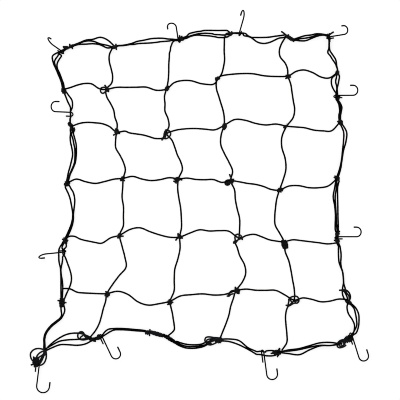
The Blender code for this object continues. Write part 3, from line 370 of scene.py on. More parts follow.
BORDER_LOOPS = (
    ((61, 331, 4.4), (57.6, 333.4, 3.2), (53.4, 333, 2.4), (50.2, 329.4, 3.4), (50.8, 326.6, 4),
     (55.4, 326.2, 3.2), (58.6, 329, 3.6), (62, 331.6, 4.2)),
    ((36, -275.6, 4.2), (28, -275, 3.4), (19, -273.8, 2.4), (12.6, -274.6, 2.2), (10, -278.6, 3),
     (10.6, -283.6, 4.4), (14.6, -288, 3.6), (20, -289.8, 2.6), (27, -288, 2.8), (36, -283.6, 4.2)),
    ((33, -277, 4.6), (25, -279.6, 3.4), (19, -282, 3.6), (13, -285, 4.4)),
    ((31, -276.6, 2.4), (25, -277.4, 2.2), (18, -278.4, 2.2), (13.6, -280.4, 2.4), (13.6, -284, 3),
     (17, -286.6, 3.6)),
    ((31, -280.4, 4.6), (25, -282.4, 4), (19, -285, 4.2), (13, -288, 4.6)),
    ((291, -181, 3.6), (293.6, -186, 4.2), (297.4, -191.6, 4.4), (298.6, -197, 4.4), (298.8, -204, 4.4)),
    ((-243.6, -267.2, 4), (-240, -264, 3.2), (-236, -263.4, 2.8), (-232.6, -266, 3), (-231.8, -269, 3.6),
     (-235.4, -271.8, 4.2), (-238.8, -274.6, 4.4), (-240.4, -278.4, 4.2)),
    ((-244, -268, 3.6), (-244.4, -273, 3), (-242, -277.4, 3), (-236, -279.6, 3.6), (-230, -279.4, 3.6),
     (-223, -277.6, 4.2)),
    ((-233, -268.6, 4.6), (-228, -270.6, 4), (-223, -272.6, 4), (-217, -276, 4.6)),
    ((-230.6, -270.6, 4.4), (-228.6, -274.4, 4.2), (-230, -278.6, 4.4)),
    ((-231.6, -272, 4.2), (-227, -274, 4.6), (-221, -275.4, 4.6), (-214, -277, 4.6)),
    ((289, -278.8, 4.8), (284, -279.8, 3.4), (279.2, -281.8, 2.6), (274.6, -287.2, 2.2),
     (274.8, -292.8, 2.2), (278.6, -295.4, 2.4), (284, -294.6, 2.6), (289, -292.4, 3.4),
     (292, -289.8, 4.4)),
    ((288, -281.6, 5), (284.6, -282.6, 4.6), (280.6, -284.6, 4.2), (277.8, -288.4, 3.8),
     (279, -291.8, 3.8), (283, -291.8, 4.2), (287, -289.8, 4.6), (290, -286.8, 5)),
    ((-310, -300, 4.2), (-316, -298, 2.4), (-322, -297, 1.8), (-328, -297.6, 1.6), (-334, -300.4, 1.6),
     (-338, -305, 1.6), (-339.2, -310, 1.6), (-338, -316, 2.2), (-335, -321, 3.4), (-331, -324, 4.4)),
    ((-310, -301, 3.2), (-317, -303.6, 1.8), (-322, -307, 1.7), (-326, -312, 2.2), (-327.4, -317, 3.6),
     (-329, -322, 4.4)),
    ((-311, -306, 3.4), (-316, -310.6, 3.4), (-320, -313.2, 3.2), (-323.6, -315.8, 3.8),
     (-328, -319.6, 4.6)),
    ((-311, -307, 3), (-314.6, -311.8, 1.8), (-317.4, -316.2, 1.7), (-319.6, -320.6, 2.2),
     (-322, -325, 3.9), (-327, -327.6, 4.6)),
    ((-310, -307, 2.4), (-312.6, -312.4, 1.7), (-315, -318, 1.7), (-317.6, -323.4, 2.4),
     (-320.6, -327.4, 3.4), (-325, -328.8, 4.6)),
    ((-308.8, -300, 3.8), (-307.4, -306, 2.2), (-307.4, -314, 1.7), (-308.8, -320, 2),
     (-311.6, -325.6, 3), (-315.4, -329, 3.9), (-319.6, -330.25, 3.9), (-329.6, -330.25, 3.9),
     (-333, -326, 4.4)),
)
CORNER_EYE = Eye(11, -324.6, -330.25, 180, (0,))

# short cut ends that stick out of the knots: root, heading, length and bend
MESH_STUBS = [Stub(*row) for row in (
    (-187.4, 225, 123, 6.4, 15), (-187, 217.8, -2, 5.6, -10), (175.4, 244.2, 198, 5.2),
    (-165.4, 133.4, -3, 5.8), (-168.5, 132.6, 212, 6.4, -12), (-73, 123.4, 226, 5.8, -12),
    (171, 146.2, 192, 4.8), (-155, 40, 188, 5), (-154.6, 40, -20, 4.6), (-42.6, 41.6, -14, 7.8, -18),
    (-48, 37.2, 178, 5.6), (61, 45.4, 108, 6.8, 12), (-160, -75.6, 182, 5.6), (-158.4, -72.4, 0, 5.8, -8),
    (-42.8, -71, 105, 5.2, 8), (-41, -75.4, -6, 7.2), (-44.6, -76, 229, 7, 12), (-185, -184.4, 166, 4.8),
    (-58, -204.4, -4, 4.8), (-61, -208.2, 190, 4.8), (70.8, -177.6, 96, 4.2), (176.4, -212, 158, 5.6, -12)
)]
BORDER_STUBS = [Stub(*row) for row in (
    (-268.6, 306.4, 178, 6, 12), (-260.4, 308.6, 95, 3.6), (-255.6, 306, -80, 4.4),
    (-168.4, 307.6, 84, 5, -10), (-167.6, 305, -84, 5.2), (-40.6, 324.6, 94, 5, -10),
    (-36.6, 324.6, 86, 3.6), (-40.8, 318.6, -88, 2.8), (63, 333, 84, 4.4), (172.4, 329.6, 143, 13, 8),
    (258.4, 330, 35, 11.4, -10), (258.4, 330, 84, 3.4), (278, 157, 184, 3.6), (275.8, -64.4, 30, 4.6),
    (272.6, -80.4, 186, 5), (284.4, -180.4, 182, 6.6), (-100.2, -262.4, 90, 4), (-100.8, -268, -90, 4.2),
    (148, -306.6, 182, 7, 8), (-213.6, -281.6, -8, 5.8), (-332.6, -319, 92, 6.4, 12),
    (-333, -328.6, 196, 5.8, 12), (-278.4, -201.4, 178, 6.8, 8), (-273.4, -204.8, -4, 6.6, 8),
    (-271.4, -78.6, 182, 4.6), (-267.4, -80.6, -4, 4), (-258.8, 151.4, 168, 5.2)
)]

# the hooks by their numbers
HOOKS = {
    1: Hook(145, -1, -68, 36, 37.6, 10.5, 2.5, 3, 4),
    2: Hook(178, -1, 0, 32, 39.8, 10.2, 9, 8, 7.8),
    3: Hook(98.6, 1, -15, 30, 35.8, 9, 5.4, 4, 4),
    4: Hook(74, 1, -70, 28, 46.4, 10.5, 6.5, 3, 3),
    5: Hook(8.6, 1, 0, 30, 39.6, 8.8, 4.5, 8, 3.4),
    6: Hook(0, 1, 0, 25, 42.4, 10, 7, 8, 4.4),
    7: Hook(0, 1, 0, 20, 48.6, 9.6, 6.5, 8, 4.4),
    8: Hook(-72.6, 1, 0, -4, 56.6, 9.8, 11.6, 13, 4.8),
    9: Hook(-82.4, 1, 0, -4, 55.6, 10.8, 10.6, 14, 4.6),
    10: Hook(-64.6, 1, 0, 2, 54.6, 9.6, 12.2, 12, 4.6),
    11: Hook(-97.2, 1, 0, -4, 54.4, 12.8, 10.6, 12, 6.4),
    12: Hook(185.5, 1, -68, 28, 51, 10.5, 7, 5.5, 3),
}


# --- curves ---


def unit(degrees):
    """The direction on the plan at this many degrees from +X towards +Y."""
    return np.array([math.cos(math.radians(degrees)), math.sin(math.radians(degrees))])


def scaled(vectors):
    """Each vector, divided by its length."""
    return vectors / np.linalg.norm(vectors, axis=1, keepdims=True)


def run_along(path):
    """The distance along the path from its start to each point."""
    return np.concatenate([[0], np.cumsum(np.linalg.norm(np.diff(path, axis=0), axis=1))])


def by_places(strand):
    """Whether a strand is given by places and not by bows."""
    return bool(strand) and isinstance(strand[0], tuple)


def passing(start, end, strand):
    """Points from start to end through the strand's places, or by equal steps moved left by its bows."""
    start, end = np.asarray(start, float), np.asarray(end, float)
    if by_places(strand):
        return np.vstack([start, strand, end])
    way = end - start
    left = np.array([-way[1], way[0]]) / np.linalg.norm(way)
    off = np.array([0, *strand, 0], float)[:, None]
    return start + way * np.linspace(0, 1, len(off))[:, None] + left * off


def even(path, step):
    """The path again as points an equal distance, near step, apart along it."""
    run = run_along(path)
    at = np.linspace(0, run[-1], max(FEWEST, round(run[-1] / step) + 1))
    return np.column_stack([np.interp(at, run, path[:, i]) for i in range(path.shape[1])])


def smooth(points, step):
    """A Catmull-Rom curve: from b to c it is the cubic whose slopes are half the way to the neighbours."""
    points = np.asarray(points, float)
    held = np.vstack([2 * points[0] - points[1], points, 2 * points[-1] - points[-2]])
    t = np.linspace(0, 1, CURVE_STEPS, endpoint=False)[None, :, None]
    a, b, c, d = (held[i : len(points) - 1 + i, None, :] for i in range(4))
    fine = 0.5 * (2 * b + (c - a) * t + (2 * a - 5 * b + 4 * c - d) * t**2 + (3 * b - a - 3 * c + d) * t**3)
    return even(np.vstack([fine.reshape(-1, points.shape[1]), points[-1:]]), step)


def ramp(distance, full, slope):
    """1 up to the distance called full, then falling smoothly to 0 over the slope."""
    t = np.clip((distance - full) / slope, 0, 1)
    return 1 - t * t * (3 - 2 * t)


def windows(values, reach):
    """For each value, the row of its neighbours within this many places, with the ends repeated."""
    return np.lib.stride_tricks.sliding_window_view(np.pad(values, reach, mode="edge"), 2 * reach + 1)


def eased(path, reach):
    """The path with each point moved to the mean of its neighbours, but with its ends kept."""
    soft = np.column_stack([windows(path[:, i], reach).mean(axis=1) for i in range(path.shape[1])])
    count = np.arange(len(path))
    share = np.clip(np.minimum(count, count[::-1]) / reach, 0, 1)[:, None]
    return path + (soft - path) * share


def heights(route, floor, below):
    """Height of a strand's middle: the floor, or where it meets a strand below, a circle over that strand.

    The highest value within FLIGHT is taken and then evened out, so the strand rises and falls softly.
    """
    z = floor.copy()
    for other in below:
        apart = np.linalg.norm(route[:, None, :] - other[None, :, :2], axis=2)
        near = apart.argmin(axis=1)
        apart = apart.min(axis=1)
        over = other[near, 2] + np.sqrt(np.maximum(APART**2 - apart**2, 0))
        z = np.where(apart < APART, np.maximum(z, over), z)
    reach = max(1, round(FLIGHT / STEP))
    high = windows(z, reach).max(axis=1)
    return np.maximum(z, windows(high, reach).mean(axis=1))


def turned_frames(path):
    """Two directions square to the path at each point, which turn round it as little as they can.

    Each point first gets any square direction. The turn to it from the last point's direction, carried over,
    is then found for all points at once, and the running sum of these turns is taken out again.
    """
    ahead = scaled(np.gradient(path, axis=0))
    side = scaled(np.cross(ahead, np.eye(3)[np.abs(ahead).argmin(axis=1)]))
    up = np.cross(ahead, side)
    nearer = np.roll(side, 1, axis=0)
    carried = nearer - ahead * (nearer * ahead).sum(axis=1, keepdims=True)
    turn = np.arctan2((np.cross(carried, side) * ahead).sum(axis=1), (carried * side).sum(axis=1))
    turn[0] = 0
    twist = np.cumsum(turn)[:, None]
    return side * np.cos(twist) - up * np.sin(twist), up * np.cos(twist) + side * np.sin(twist)


def tube(path, radius, sides, start=0.0):
    """A round profile carried along a path: point i, j is path i + radius i x (side cos a + up sin a).

    Gives points, faces, UV at the faces' corners and the two flat ends: u is the length along the path in
    millimetres and v goes once round it.
    """
    side, up = turned_frames(path)
    a = 2 * math.pi * np.arange(sides)[None, :, None] / sides
    spoke = side[:, None, :] * np.cos(a) + up[:, None, :] * np.sin(a)
    points = path[:, None, :] + spoke * np.broadcast_to(radius, len(path))[:, None, None]
    i, j = np.arange(len(path) - 1)[:, None] * sides, np.arange(sides)[None, :]
    after = (j + 1) % sides
    quads = np.stack([i + j, i + after, i + sides + after, i + sides + j], axis=2)
    run = start + run_along(path)
    near, far = run[:-1, None], run[1:, None]
    corners = ((near, j), (near, j + 1), (far, j + 1), (far, j))
    uv = np.stack([np.stack(np.broadcast_arrays(u, v / sides), axis=2) for u, v in corners], axis=2)
    ends = [np.arange(sides)[::-1], (len(path) - 1) * sides + np.arange(sides)]
    return points.reshape(-1, 3), quads.reshape(-1, 4), uv.reshape(-1, 2), ends


def make_piece(name, tubes, material, node):
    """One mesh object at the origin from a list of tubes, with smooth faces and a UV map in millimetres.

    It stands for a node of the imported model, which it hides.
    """
    points = np.vstack([t[0] for t in tubes]) + (*CENTRE, 0)
    shifts = np.cumsum([0, *(len(t[0]) for t in tubes)])
    quads = np.vstack([t[1] + s for t, s in zip(tubes, shifts)])
    ends = [end + s for t, s in zip(tubes, shifts) for end in t[3]]
    uv = np.vstack([*(t[2] for t in tubes), np.zeros((sum(len(end) for end in ends), 2))])
    mesh = bpy.data.meshes.new(name)
    mesh.from_pydata(points * MM, [], [*quads.tolist(), *(end.tolist() for end in ends)])
    layer = mesh.uv_layers.new(name=UV_NAME)
    layer.data.foreach_set("uv", uv.astype(np.float32).ravel())
    mesh.validate()
    mesh.shade_smooth()
    mesh.set_sharp_from_angle(angle=SHARP)
    mesh.materials.append(material)
    made = bpy.data.objects.new(name, mesh)
    bpy.context.scene.collection.objects.link(made)
    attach(made, "root")
    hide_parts(node)


# --- cords and knots ---


def cord_tube(path, sizes, start):
    """A length of slack elastic cord: its sheath swells and shrinks a little as it gathers on the core.

    Radius = half the cord x (1 + pucker x the mean of two sines of unlike lengths).
    """
    run = start + STEP * np.arange(len(path))
    swell = sum(np.sin(run * 2 * math.pi / pucker + i) for i, pucker in enumerate(PUCKERS)) / 2
    return tube(path, sizes.cord / MM / 2 * (1 + sizes.pucker * swell), CORD_SIDES, start)


def through_eye(points, eye, slot, free):
    """The points with those near a hook's eye taken out, and the ends of a straight run through it put in."""
    run, left = unit(eye.run), unit(eye.run + 90)
    middle = np.array([eye.x, eye.y]) + left * eye.spread * SIDE_OF[slot]
    away = points - [eye.x, eye.y]
    gap = np.linalg.norm(away, axis=1)
    order = np.arange(len(points))
    earlier = (order < gap.argmin()) | ((order == gap.argmin()) & (away @ run < 0))
    keep = (gap > free) | (order == 0) | (order == order[-1])
    straight = middle - run * EYE_HALF, middle + run * EYE_HALF
    return np.vstack([points[keep & earlier], *straight, points[keep & ~earlier]])


def twisted(centre, slot):
    """A strand of a twist of three that goes on from where the stretch's strands end.

    Round the centre line the strand's angle grows by a full turn every TWIST_PITCH, and the line is high at
    first so that no strand dips below the floor.
    """
    line = smooth(centre, STEP)
    way = np.gradient(line, axis=0)
    left = scaled(np.column_stack([-way[:, 1], way[:, 0]]))
    run = STEP * np.arange(len(line))
    radius = TWIST_TIGHT + TWIST_SLACK * np.sin(math.pi * np.linspace(0, 1, len(line)))
    angle = math.radians(TWIST_LEANS[slot]) + 2 * math.pi * run / TWIST_PITCH
    high = CORD_HALF + radius
    middle = high + (CORD_HALF + TWIST_TIGHT / 2 - high) * ramp(run, 0, FLIGHT)
    plan = line + left * (radius * np.cos(angle))[:, None]
    return np.column_stack([plan, middle + radius * np.sin(angle)])


def stacked(eye):
    """How much higher the second strand lies in an eye that is too narrow for two side by side."""
    return math.sqrt(max(0.0, APART**2 - (2 * eye.spread) ** 2))


def strand_routes(stretch):
    """The strands of one stretch of the border as routes with heights.

    At both ends the first strand is on the left, the second on the right and the third between them. Those
    that a hook's eye takes run straight through it in this order, over the wire, with the third on top.
    """
    start, end = np.array(PLACES[stretch.start], float), np.array(PLACES[stretch.end], float)
    across = np.array([start[1] - end[1], end[0] - start[0]]) / np.linalg.norm(end - start)
    eye = stretch.eye
    done = []
    for index, strand in enumerate(stretch.strands):
        points = passing(start, end, strand)
        points[[0, -1]] += across * SIDE_BY_SIDE * SIDE_OF[index]
        held = eye is not None and index in eye.takes
        if held:
            slot = eye.takes.index(index)
            points = through_eye(points, eye, slot, EYE_FREE_NEAR if by_places(strand) else EYE_FREE)
        route = smooth(points, STEP)
        floor = np.full(len(route), CORD_HALF)
        if held:
            away = np.linalg.norm(route - [eye.x, eye.y], axis=1)
            lift = EYE_LIFT + (0, stacked(eye), ON_TOP)[slot]
            floor = floor + lift * ramp(away, EYE_REACH, EYE_SLOPE)
        z = heights(route, floor, done)
        if held:
            z = np.where(away < EYE_REACH, floor, z)
        done.append(np.column_stack([route, z]))
    if stretch.twist:
        done = [np.vstack([route, twisted(stretch.twist, slot)[1:]]) for slot, route in enumerate(done)]
    return done


def mesh_route(row, crossings, rise, border):
    """The route of a row or column through its crossings, which rises to this height in each of them."""
    stops = [row.start, *crossings, row.end]
    spans = [passing(a, b, bows) for a, b, bows in zip(stops, stops[1:], row.bows)]
    route = smooth(np.vstack([spans[0], *(span[1:] for span in spans[1:])]), STEP)
    away = np.min([np.linalg.norm(route - stop, axis=1) for stop in stops], axis=0)
    floor = CORD_HALF + (rise - CORD_HALF) * ramp(away, KNOT_HALF, KNOT_SLOPE)
    return np.column_stack([route, heights(route, floor, border)])


def lump_tubes(lump, order, sizes):
    """The turns of cord of one lump of a knot: a coil across it, and on a short lump one turn over the top.

    With t from 0 to 1 and a = 2 pi turns t + a start, the coil is along = (half length - half cord)(2t - 1) +
    a lean x cos a + a wobble, across = (half width - half cord) belly cos a, and height = half cord +
    rise (1 + belly sin a), where belly falls to both ends as an ellipse does. The turn over the top is an
    arch from corner to corner.
    """
    thick = sizes.cord / MM * sizes.tight
    rise = sizes.knot_rise / MM * min(1.0, (lump.wide + 1) / (FULL_RISE + 1))
    half_long, half_wide = lump.long - thick / 2, max(lump.wide - thick / 2, LEAST_HALF)
    turns = max(2, round(2 * half_long / (COIL_PITCH * thick)))
    flip = 1 - 2 * (order % 2)
    t = np.linspace(0, 1, turns * COIL_POINTS + 1)
    angle = 2 * math.pi * turns * t + COIL_START * order
    tuck = np.clip(np.minimum(t, 1 - t) * turns / COIL_TUCK, 0, 1)
    belly = np.sqrt(1 - COIL_TAPER * (2 * t - 1) ** 2) * (0.5 + 0.5 * np.sin(tuck * math.pi / 2))
    wobble = COIL_WOBBLE * thick * np.sin(WOBBLE_RATE * angle / (1 + order % 3) + order)
    along = half_long * (2 * t - 1) + flip * COIL_LEAN * thick * np.cos(angle) + wobble
    ahead, left = unit(lump.turn), unit(lump.turn + 90)

    def lay(along, across, height):
        plan = np.array([lump.x, lump.y]) + ahead * along[:, None] + left * across[:, None]
        return tube(np.column_stack([plan, height]), thick / 2, KNOT_SIDES)

    tubes = [lay(along, half_wide * belly * np.cos(angle), thick / 2 + rise * (1 + belly * np.sin(angle)))]
    if lump.long < OVER_BELOW:
        u = np.linspace(-1, 1, OVER_POINTS)
        arch = thick / 2 + 2 * rise + OVER_HEIGHT * thick
        across = flip * half_wide * (OVER_SLANT * u + OVER_BOW * np.cos(u * math.pi / 2))
        tubes.append(lay(OVER_LENGTH * half_long * u, across, arch - (arch - thick / 2 - rise) * u**4))
    return tubes


def stub_tube(row, sizes):
    """A cut end: a short bent length of cord that comes down to the floor and ends in a melted bead.

    Its radius is the cord's, swells by a tenth at the bead, and closes there as a quarter of a circle does.
    """
    s = np.linspace(0, 1, STUB_POINTS)
    middle = np.radians(row.heading + row.bend * (s - 0.5))
    steps = np.column_stack([np.cos(middle), np.sin(middle)]) * row.length / (STUB_POINTS - 1)
    plan = np.array([row.x, row.y]) + np.cumsum(steps, axis=0) - steps[0]
    end = np.clip((s - MELTED) / (1 - MELTED), 0, 1)
    bead = 1 + BEAD_SWELL * np.exp(-(((s - BEAD_AT) / BEAD_REACH) ** 2))
    radius = sizes.cord / MM / 2 * bead * np.sqrt(1 - SHUT * end**2)
    return tube(np.column_stack([plan, STUB_HIGH - STUB_DROP * s**1.5]), radius, CORD_SIDES)


# --- hooks ---


def hook_line(hook, eye):
    """The middle line of a hook's wire, from its tail to its tip.

    The tail lies under the strands, the eye is a half circle that turns up round them, the shank leads away
    over them, and the bend is a half circle back to the tip. The corners between them are eased.
    """
    strands = len(eye.takes)
    ahead, left, along, over = (np.append(unit(angle), 0) for angle in
                                (hook.heading, hook.heading + 90, eye.run, eye.run + 90))
    along = along * math.copysign(1, along @ left) * hook.side
    slant = 1 / abs(over @ ahead)
    tall = 2 * CORD_HALF + (0, stacked(eye), EYE_APART * math.sqrt(3) / 2)[strands - 1]
    wide = 0 if strands < 2 else eye.spread + EYE_SIDE
    turn = (WIRE_ACROSS + 2 * GAP + tall) / 2
    low = WIRE_ACROSS / 2
    inner = wide * slant + EYE_INNER
    past = (wide + CORD_HALF) * slant
    up = np.array([0, 0, 1.0])
    shift = hook.drift / 2

    def at(u, v, z):
        u, v, z = (np.asarray(k, float)[..., None] for k in (u, v, z))
        return np.array([eye.x, eye.y, 0.0]) - ahead * u + along * v + up * z

    a = np.linspace(0, math.pi, EYE_POINTS)
    tail = at(-past - hook.tail, -shift, low)
    loop = at(inner + turn * np.sin(a), -shift * np.cos(a), low + turn - turn * np.cos(a))
    root = at(-past - EYE_PAST, shift, low + 2 * turn)
    pitch, roll = math.radians(hook.pitch), math.radians(hook.roll)
    shank = ahead * math.cos(pitch) + up * math.sin(pitch)
    rise = up * math.cos(pitch) - ahead * math.sin(pitch)
    side = left * hook.side * math.cos(roll) + rise * math.sin(roll)
    b = np.linspace(0, math.pi, BEND_POINTS)[:, None]
    bend = side * (1 - np.cos(b)) + shank * np.sin(b)
    plan = hook.reach - low - (root - [eye.x, eye.y, 0]) @ ahead - hook.radius * (bend @ ahead).max()
    bend = root + shank * (plan / math.cos(pitch)) + hook.radius * bend
    line = even(np.vstack([tail, loop, root, bend, bend[-1] - shank * hook.back]), EASE_STEP)
    return even(eased(line, EASE_REACH), WIRE_STEP)


def hook_tubes(line, sizes):
    """The wire with its cut tail, and the dipped sleeve over its last stretch.

    The sleeve's radius rises over its shoulder as a sine does, and its end closes as a quarter of a circle.
    """
    wire, dip = sizes.wire / MM / 2, sizes.dip / MM / 2
    run = run_along(line)
    left = run[-1] - run
    trim = 0.8 + 0.2 * np.sqrt(np.clip(run / TRIM, 0, 1))
    inside = left > DIP_END
    bare = tube(line[inside], (wire * trim)[inside], WIRE_SIDES)
    path = even(line[left < sizes.dip_length / MM], DIP_STEP)
    s = DIP_STEP * np.arange(len(path))
    shoulder = np.sin(np.clip(s / SHOULDER, 0, 1) * math.pi / 2)
    close = np.clip((s - s[-1] + dip) / dip, 0, CLOSED)
    skin = wire + DIP_SKIN
    return bare, tube(path, (skin + (dip - skin) * shoulder) * np.sqrt(1 - close**2), DIP_SIDES)


# --- materials ---


def linear(code):
    """An sRGB hex colour such as "1a1a1b" as linear red, green, blue and alpha 1."""
    values = np.array([int(code[i : i + 2], 16) for i in (0, 2, 4)]) / 255
    return (*np.where(values <= 0.04045, values / 12.92, ((values + 0.055) / 1.055) ** 2.4), 1.0)


def plug(tree, node, sockets):
    """Links each of these sockets of a node to another node's output, or sets it to a plain value."""
    for key, value in sockets.items():
        if isinstance(value, bpy.types.NodeSocket):
            tree.links.new(value, node.inputs[key])
        else:
            node.inputs[key].default_value = value


def add(tree, kind, sockets=None, output=0, **settings):
    """Adds a shader node with its settings, fills its sockets, and gives the output that is asked for."""
    node = tree.nodes.new("ShaderNode" + kind)
    for key, value in settings.items():
        setattr(node, key, value)
    plug(tree, node, sockets or {})
    return node.outputs[output]


def new_material(name):
    """An empty node material with its shader. Returns the material, its tree and its shader."""
    made = bpy.data.materials.new(name)
    made.use_nodes = True
    tree = made.node_tree
    return made, tree, tree.nodes["Principled BSDF"]


def loose_cord(colours):
    """The net's cord where it lies slack: its braid is closed and almost black."""
    return braided_sheath("braided polyester sheath, black", colours.cord, colours.wear_and_sheen)


def knot_cord_painted_lighter(colours):
    """The same cord in the knots with painted light: its colours are lighter because the raised knots catch
    more light.
    """
    return braided_sheath("braided polyester sheath, black, pulled open", colours.knot, colours.knot_painted_sheen_and_worn)


def braided_sheath(name, closed, wear_and_sheen_colour):
    """Polyester yarn braided over rubber: dull black, with a faint sheen from the yarns' crowns.

    Sixteen yarns cross round the cord, eight each way, so on the UV map each yarn repeats every eighth of a
    turn and every YARN_REPEAT of length. They are at real scale, for close views only. Wider patches, 25 to
    60 mm long, are greyer on the yarns' crowns, partly as worn sheath and partly as painted sheen, and show
    at the net's full view.
    """
    made, tree, shader = new_material(name)
    flat = add(tree, "UVMap", uv_map=UV_NAME)
    along, round_it = (add(tree, "SeparateXYZ", {0: flat}, axis) for axis in "XY")
    u = add(tree, "Math", {0: along, 1: 1 / YARN_REPEAT}, operation="MULTIPLY")
    v = add(tree, "Math", {0: round_it, 1: YARNS_EACH_WAY}, operation="MULTIPLY")
    crowns = []
    for operation in ("ADD", "SUBTRACT"):
        lean = add(tree, "Math", {0: u, 1: v}, operation=operation)
        turn = add(tree, "Math", {0: lean, 1: math.pi}, operation="MULTIPLY")
        wave = add(tree, "Math", {0: turn}, operation="SINE")
        crowns.append(add(tree, "Math", {0: wave}, operation="ABSOLUTE"))
    yarn = add(tree, "Math", dict(enumerate(crowns)), operation="MULTIPLY")
    spot = add(tree, "TexCoord", output="Object")
    # patches 25 to 60 mm long, greyer on the yarns' crowns: worn sheath and painted sheen
    wear_and_sheen = add(tree, "TexNoise", {"Vector": spot, "Scale": 26.0, "Detail": 3.0, "Roughness": 0.6})
    fibre = add(tree, "TexNoise", {"Vector": spot, "Scale": 2600.0, "Detail": 2.0, "Roughness": 0.5})
    wear_and_sheen_mask = add(tree, "MapRange", {"Value": wear_and_sheen, "From Min": 0.45, "From Max": 0.75})
    lit = add(tree, "Math", {0: wear_and_sheen_mask, 1: yarn}, operation="MULTIPLY")
    relief = add(tree, "Math", {0: fibre, 1: 0.25, 2: yarn}, operation="MULTIPLY_ADD")
    plug(tree, shader, {
        "Base Color": add(tree, "Mix", {0: lit, 6: linear(closed), 7: linear(wear_and_sheen_colour)}, 2, data_type="RGBA"),
        "Roughness": add(tree, "MapRange", {"Value": fibre, "To Min": 0.62, "To Max": 0.85}),
        "Normal": add(tree, "Bump", {"Height": relief, "Strength": 0.6, "Distance": 0.00025}),
        "Specular IOR Level": 0.1, "Sheen Weight": 0.01, "Sheen Roughness": 0.4,
    })
    return made


def spring_wire(colours):
    """Drawn spring steel wire with a black oxide finish: dull, with a faint shine along the die lines.

    The die lines are 0.15 mm apart round the wire, and cloudy patches a few millimetres long dull the oxide,
    which covers the steel and so isn't a metal to the light.
    """
    made, tree, shader = new_material("drawn spring steel wire, black oxide")
    flat = add(tree, "UVMap", uv_map=UV_NAME)
    along = add(tree, "Mapping", {"Vector": flat, "Scale": (0.12, 42.0, 1.0)})
    lines = add(tree, "TexNoise", {"Vector": along, "Scale": 1.0, "Detail": 2.0}, noise_dimensions="2D")
    spot = add(tree, "TexCoord", output="Object")
    cloud = add(tree, "TexNoise", {"Vector": spot, "Scale": 240.0, "Detail": 3.0})
    dull, bright = linear(colours.wire_dark), linear(colours.wire)
    plug(tree, shader, {
        "Base Color": add(tree, "Mix", {0: cloud, 6: dull, 7: bright}, 2, data_type="RGBA"),
        "Roughness": add(tree, "MapRange", {"Value": cloud, "To Min": 0.65, "To Max": 0.5}),
        "Normal": add(tree, "Bump", {"Height": lines, "Strength": 0.25, "Distance": 0.00006}),
        "Metallic": 0.0, "Specular IOR Level": 0.12,
    })
    return made


def dipped_tip(colours):
    """Vinyl dip, cured in place: satin black with a slight orange peel and dust in it."""
    made, tree, shader = new_material("dipped vinyl tip, black")
    spot = add(tree, "TexCoord", output="Object")
    peel = add(tree, "TexNoise", {"Vector": spot, "Scale": 900.0, "Detail": 2.0})
    clean, dusty = linear(colours.dip), linear(colours.cord)
    plug(tree, shader, {
        "Base Color": add(tree, "Mix", {0: peel, 6: clean, 7: dusty}, 2, data_type="RGBA"),
        "Roughness": add(tree, "MapRange", {"Value": peel, "To Min": 0.32, "To Max": 0.5}),
        "Normal": add(tree, "Bump", {"Height": peel, "Strength": 0.3, "Distance": 0.0001}),
        "Specular IOR Level": 0.35,
    })
    return made


def studio_floor(colours):
    """Opal acrylic light table: it glows an even white, with faint cloudy mottling millimetres across."""
    made, tree, shader = new_material("opal acrylic light table")
    spot = add(tree, "TexCoord", output="Object")
    mottle = add(tree, "TexNoise", {"Vector": spot, "Scale": 180.0, "Detail": 3.0})
    clear, cloudy = linear(colours.floor), linear(colours.floor_cloud)
    plug(tree, shader, {
        "Base Color": add(tree, "Mix", {0: mottle, 6: clear, 7: cloudy}, 2, data_type="RGBA"),
        "Emission Color": linear("ffffff"), "Emission Strength": 0.8,
        "Roughness": 0.9, "Specular IOR Level": 0.1,
    })
    return made


# --- the add-on ---


def length(name, text, default):
    """A property that is a size in metres."""
    return bpy.props.FloatProperty(name=name, description=text, default=default, min=0.0, subtype="DISTANCE",
                                   unit="LENGTH", precision=5)


def share(name, text, default, least, most):
    """A property that is a plain share of something."""
    return bpy.props.FloatProperty(name=name, description=text, default=default, min=least, max=most,
                                   subtype="FACTOR")


def colour(name, text, default):
    """A property that is an sRGB hex colour."""
    return bpy.props.StringProperty(name=name, description=text, default=default)


class NetSizes(bpy.types.PropertyGroup):
    """Sizes of the net's cord, knots and hooks."""

    cord: length("Cord", "Width of the elastic cord", 3.2 * MM)
    pucker: share("Pucker", "How much the slack sheath swells, as a share of its radius", 0.035, 0.0, 0.2)
    tight: share("Tightness", "Width of the cord in a knot, as a share of its free width", 0.9, 0.5, 1.0)
    knot_rise: length("Knot rise", "Half the height from a knot's lowest to its highest turn", 1.9 * MM)
    wire: length("Wire", "Width of the hooks' wire", 2.6 * MM)
    dip: length("Dip", "Width of a hook's dipped tip", 3.0 * MM)
    dip_length: length("Dip length", "Length of a hook's dipped tip", 9.0 * MM)


class NetColours(bpy.types.PropertyGroup):
    """Colours of the net's materials and of the floor, as sRGB hex codes."""

    cord: colour("Cord", "Braided sheath", "050505")
    # worn sheath and painted sheen on the yarns' crowns, in one colour
    wear_and_sheen: colour("Worn cord with painted sheen", "Sheath where it is worn, with painted sheen", "232527")
    # the knots' cord colours are the loose cord's painted lighter, for the light that the raised knots catch
    knot: colour("Knotted cord", "Sheath in the knots", "2c2e30")
    # lighter still on the knots' worn patches: worn sheath, painted sheen and painted light together
    knot_painted_sheen_and_worn: colour("Knot sheen and worn patches", "Knot sheath's worn patches, painted lighter with sheen", "565a5e")
    wire: colour("Wire", "Hook wire", "161718")
    wire_dark: colour("Dull wire", "Hook wire where its oxide is dull", "0a0b0b")
    dip: colour("Dip", "Dipped hook tips", "0e0e0f")
    floor: colour("Table", "Light table under the net", "989898")
    floor_cloud: colour("Cloudy table", "Mottling of the light table", "9e9e9e")


MADE = {}


def shared(function):
    """The material that a function makes, made the first time and found again after that."""
    if function not in MADE:
        MADE[function] = function(bpy.context.scene.net_colours)
    return MADE[function]


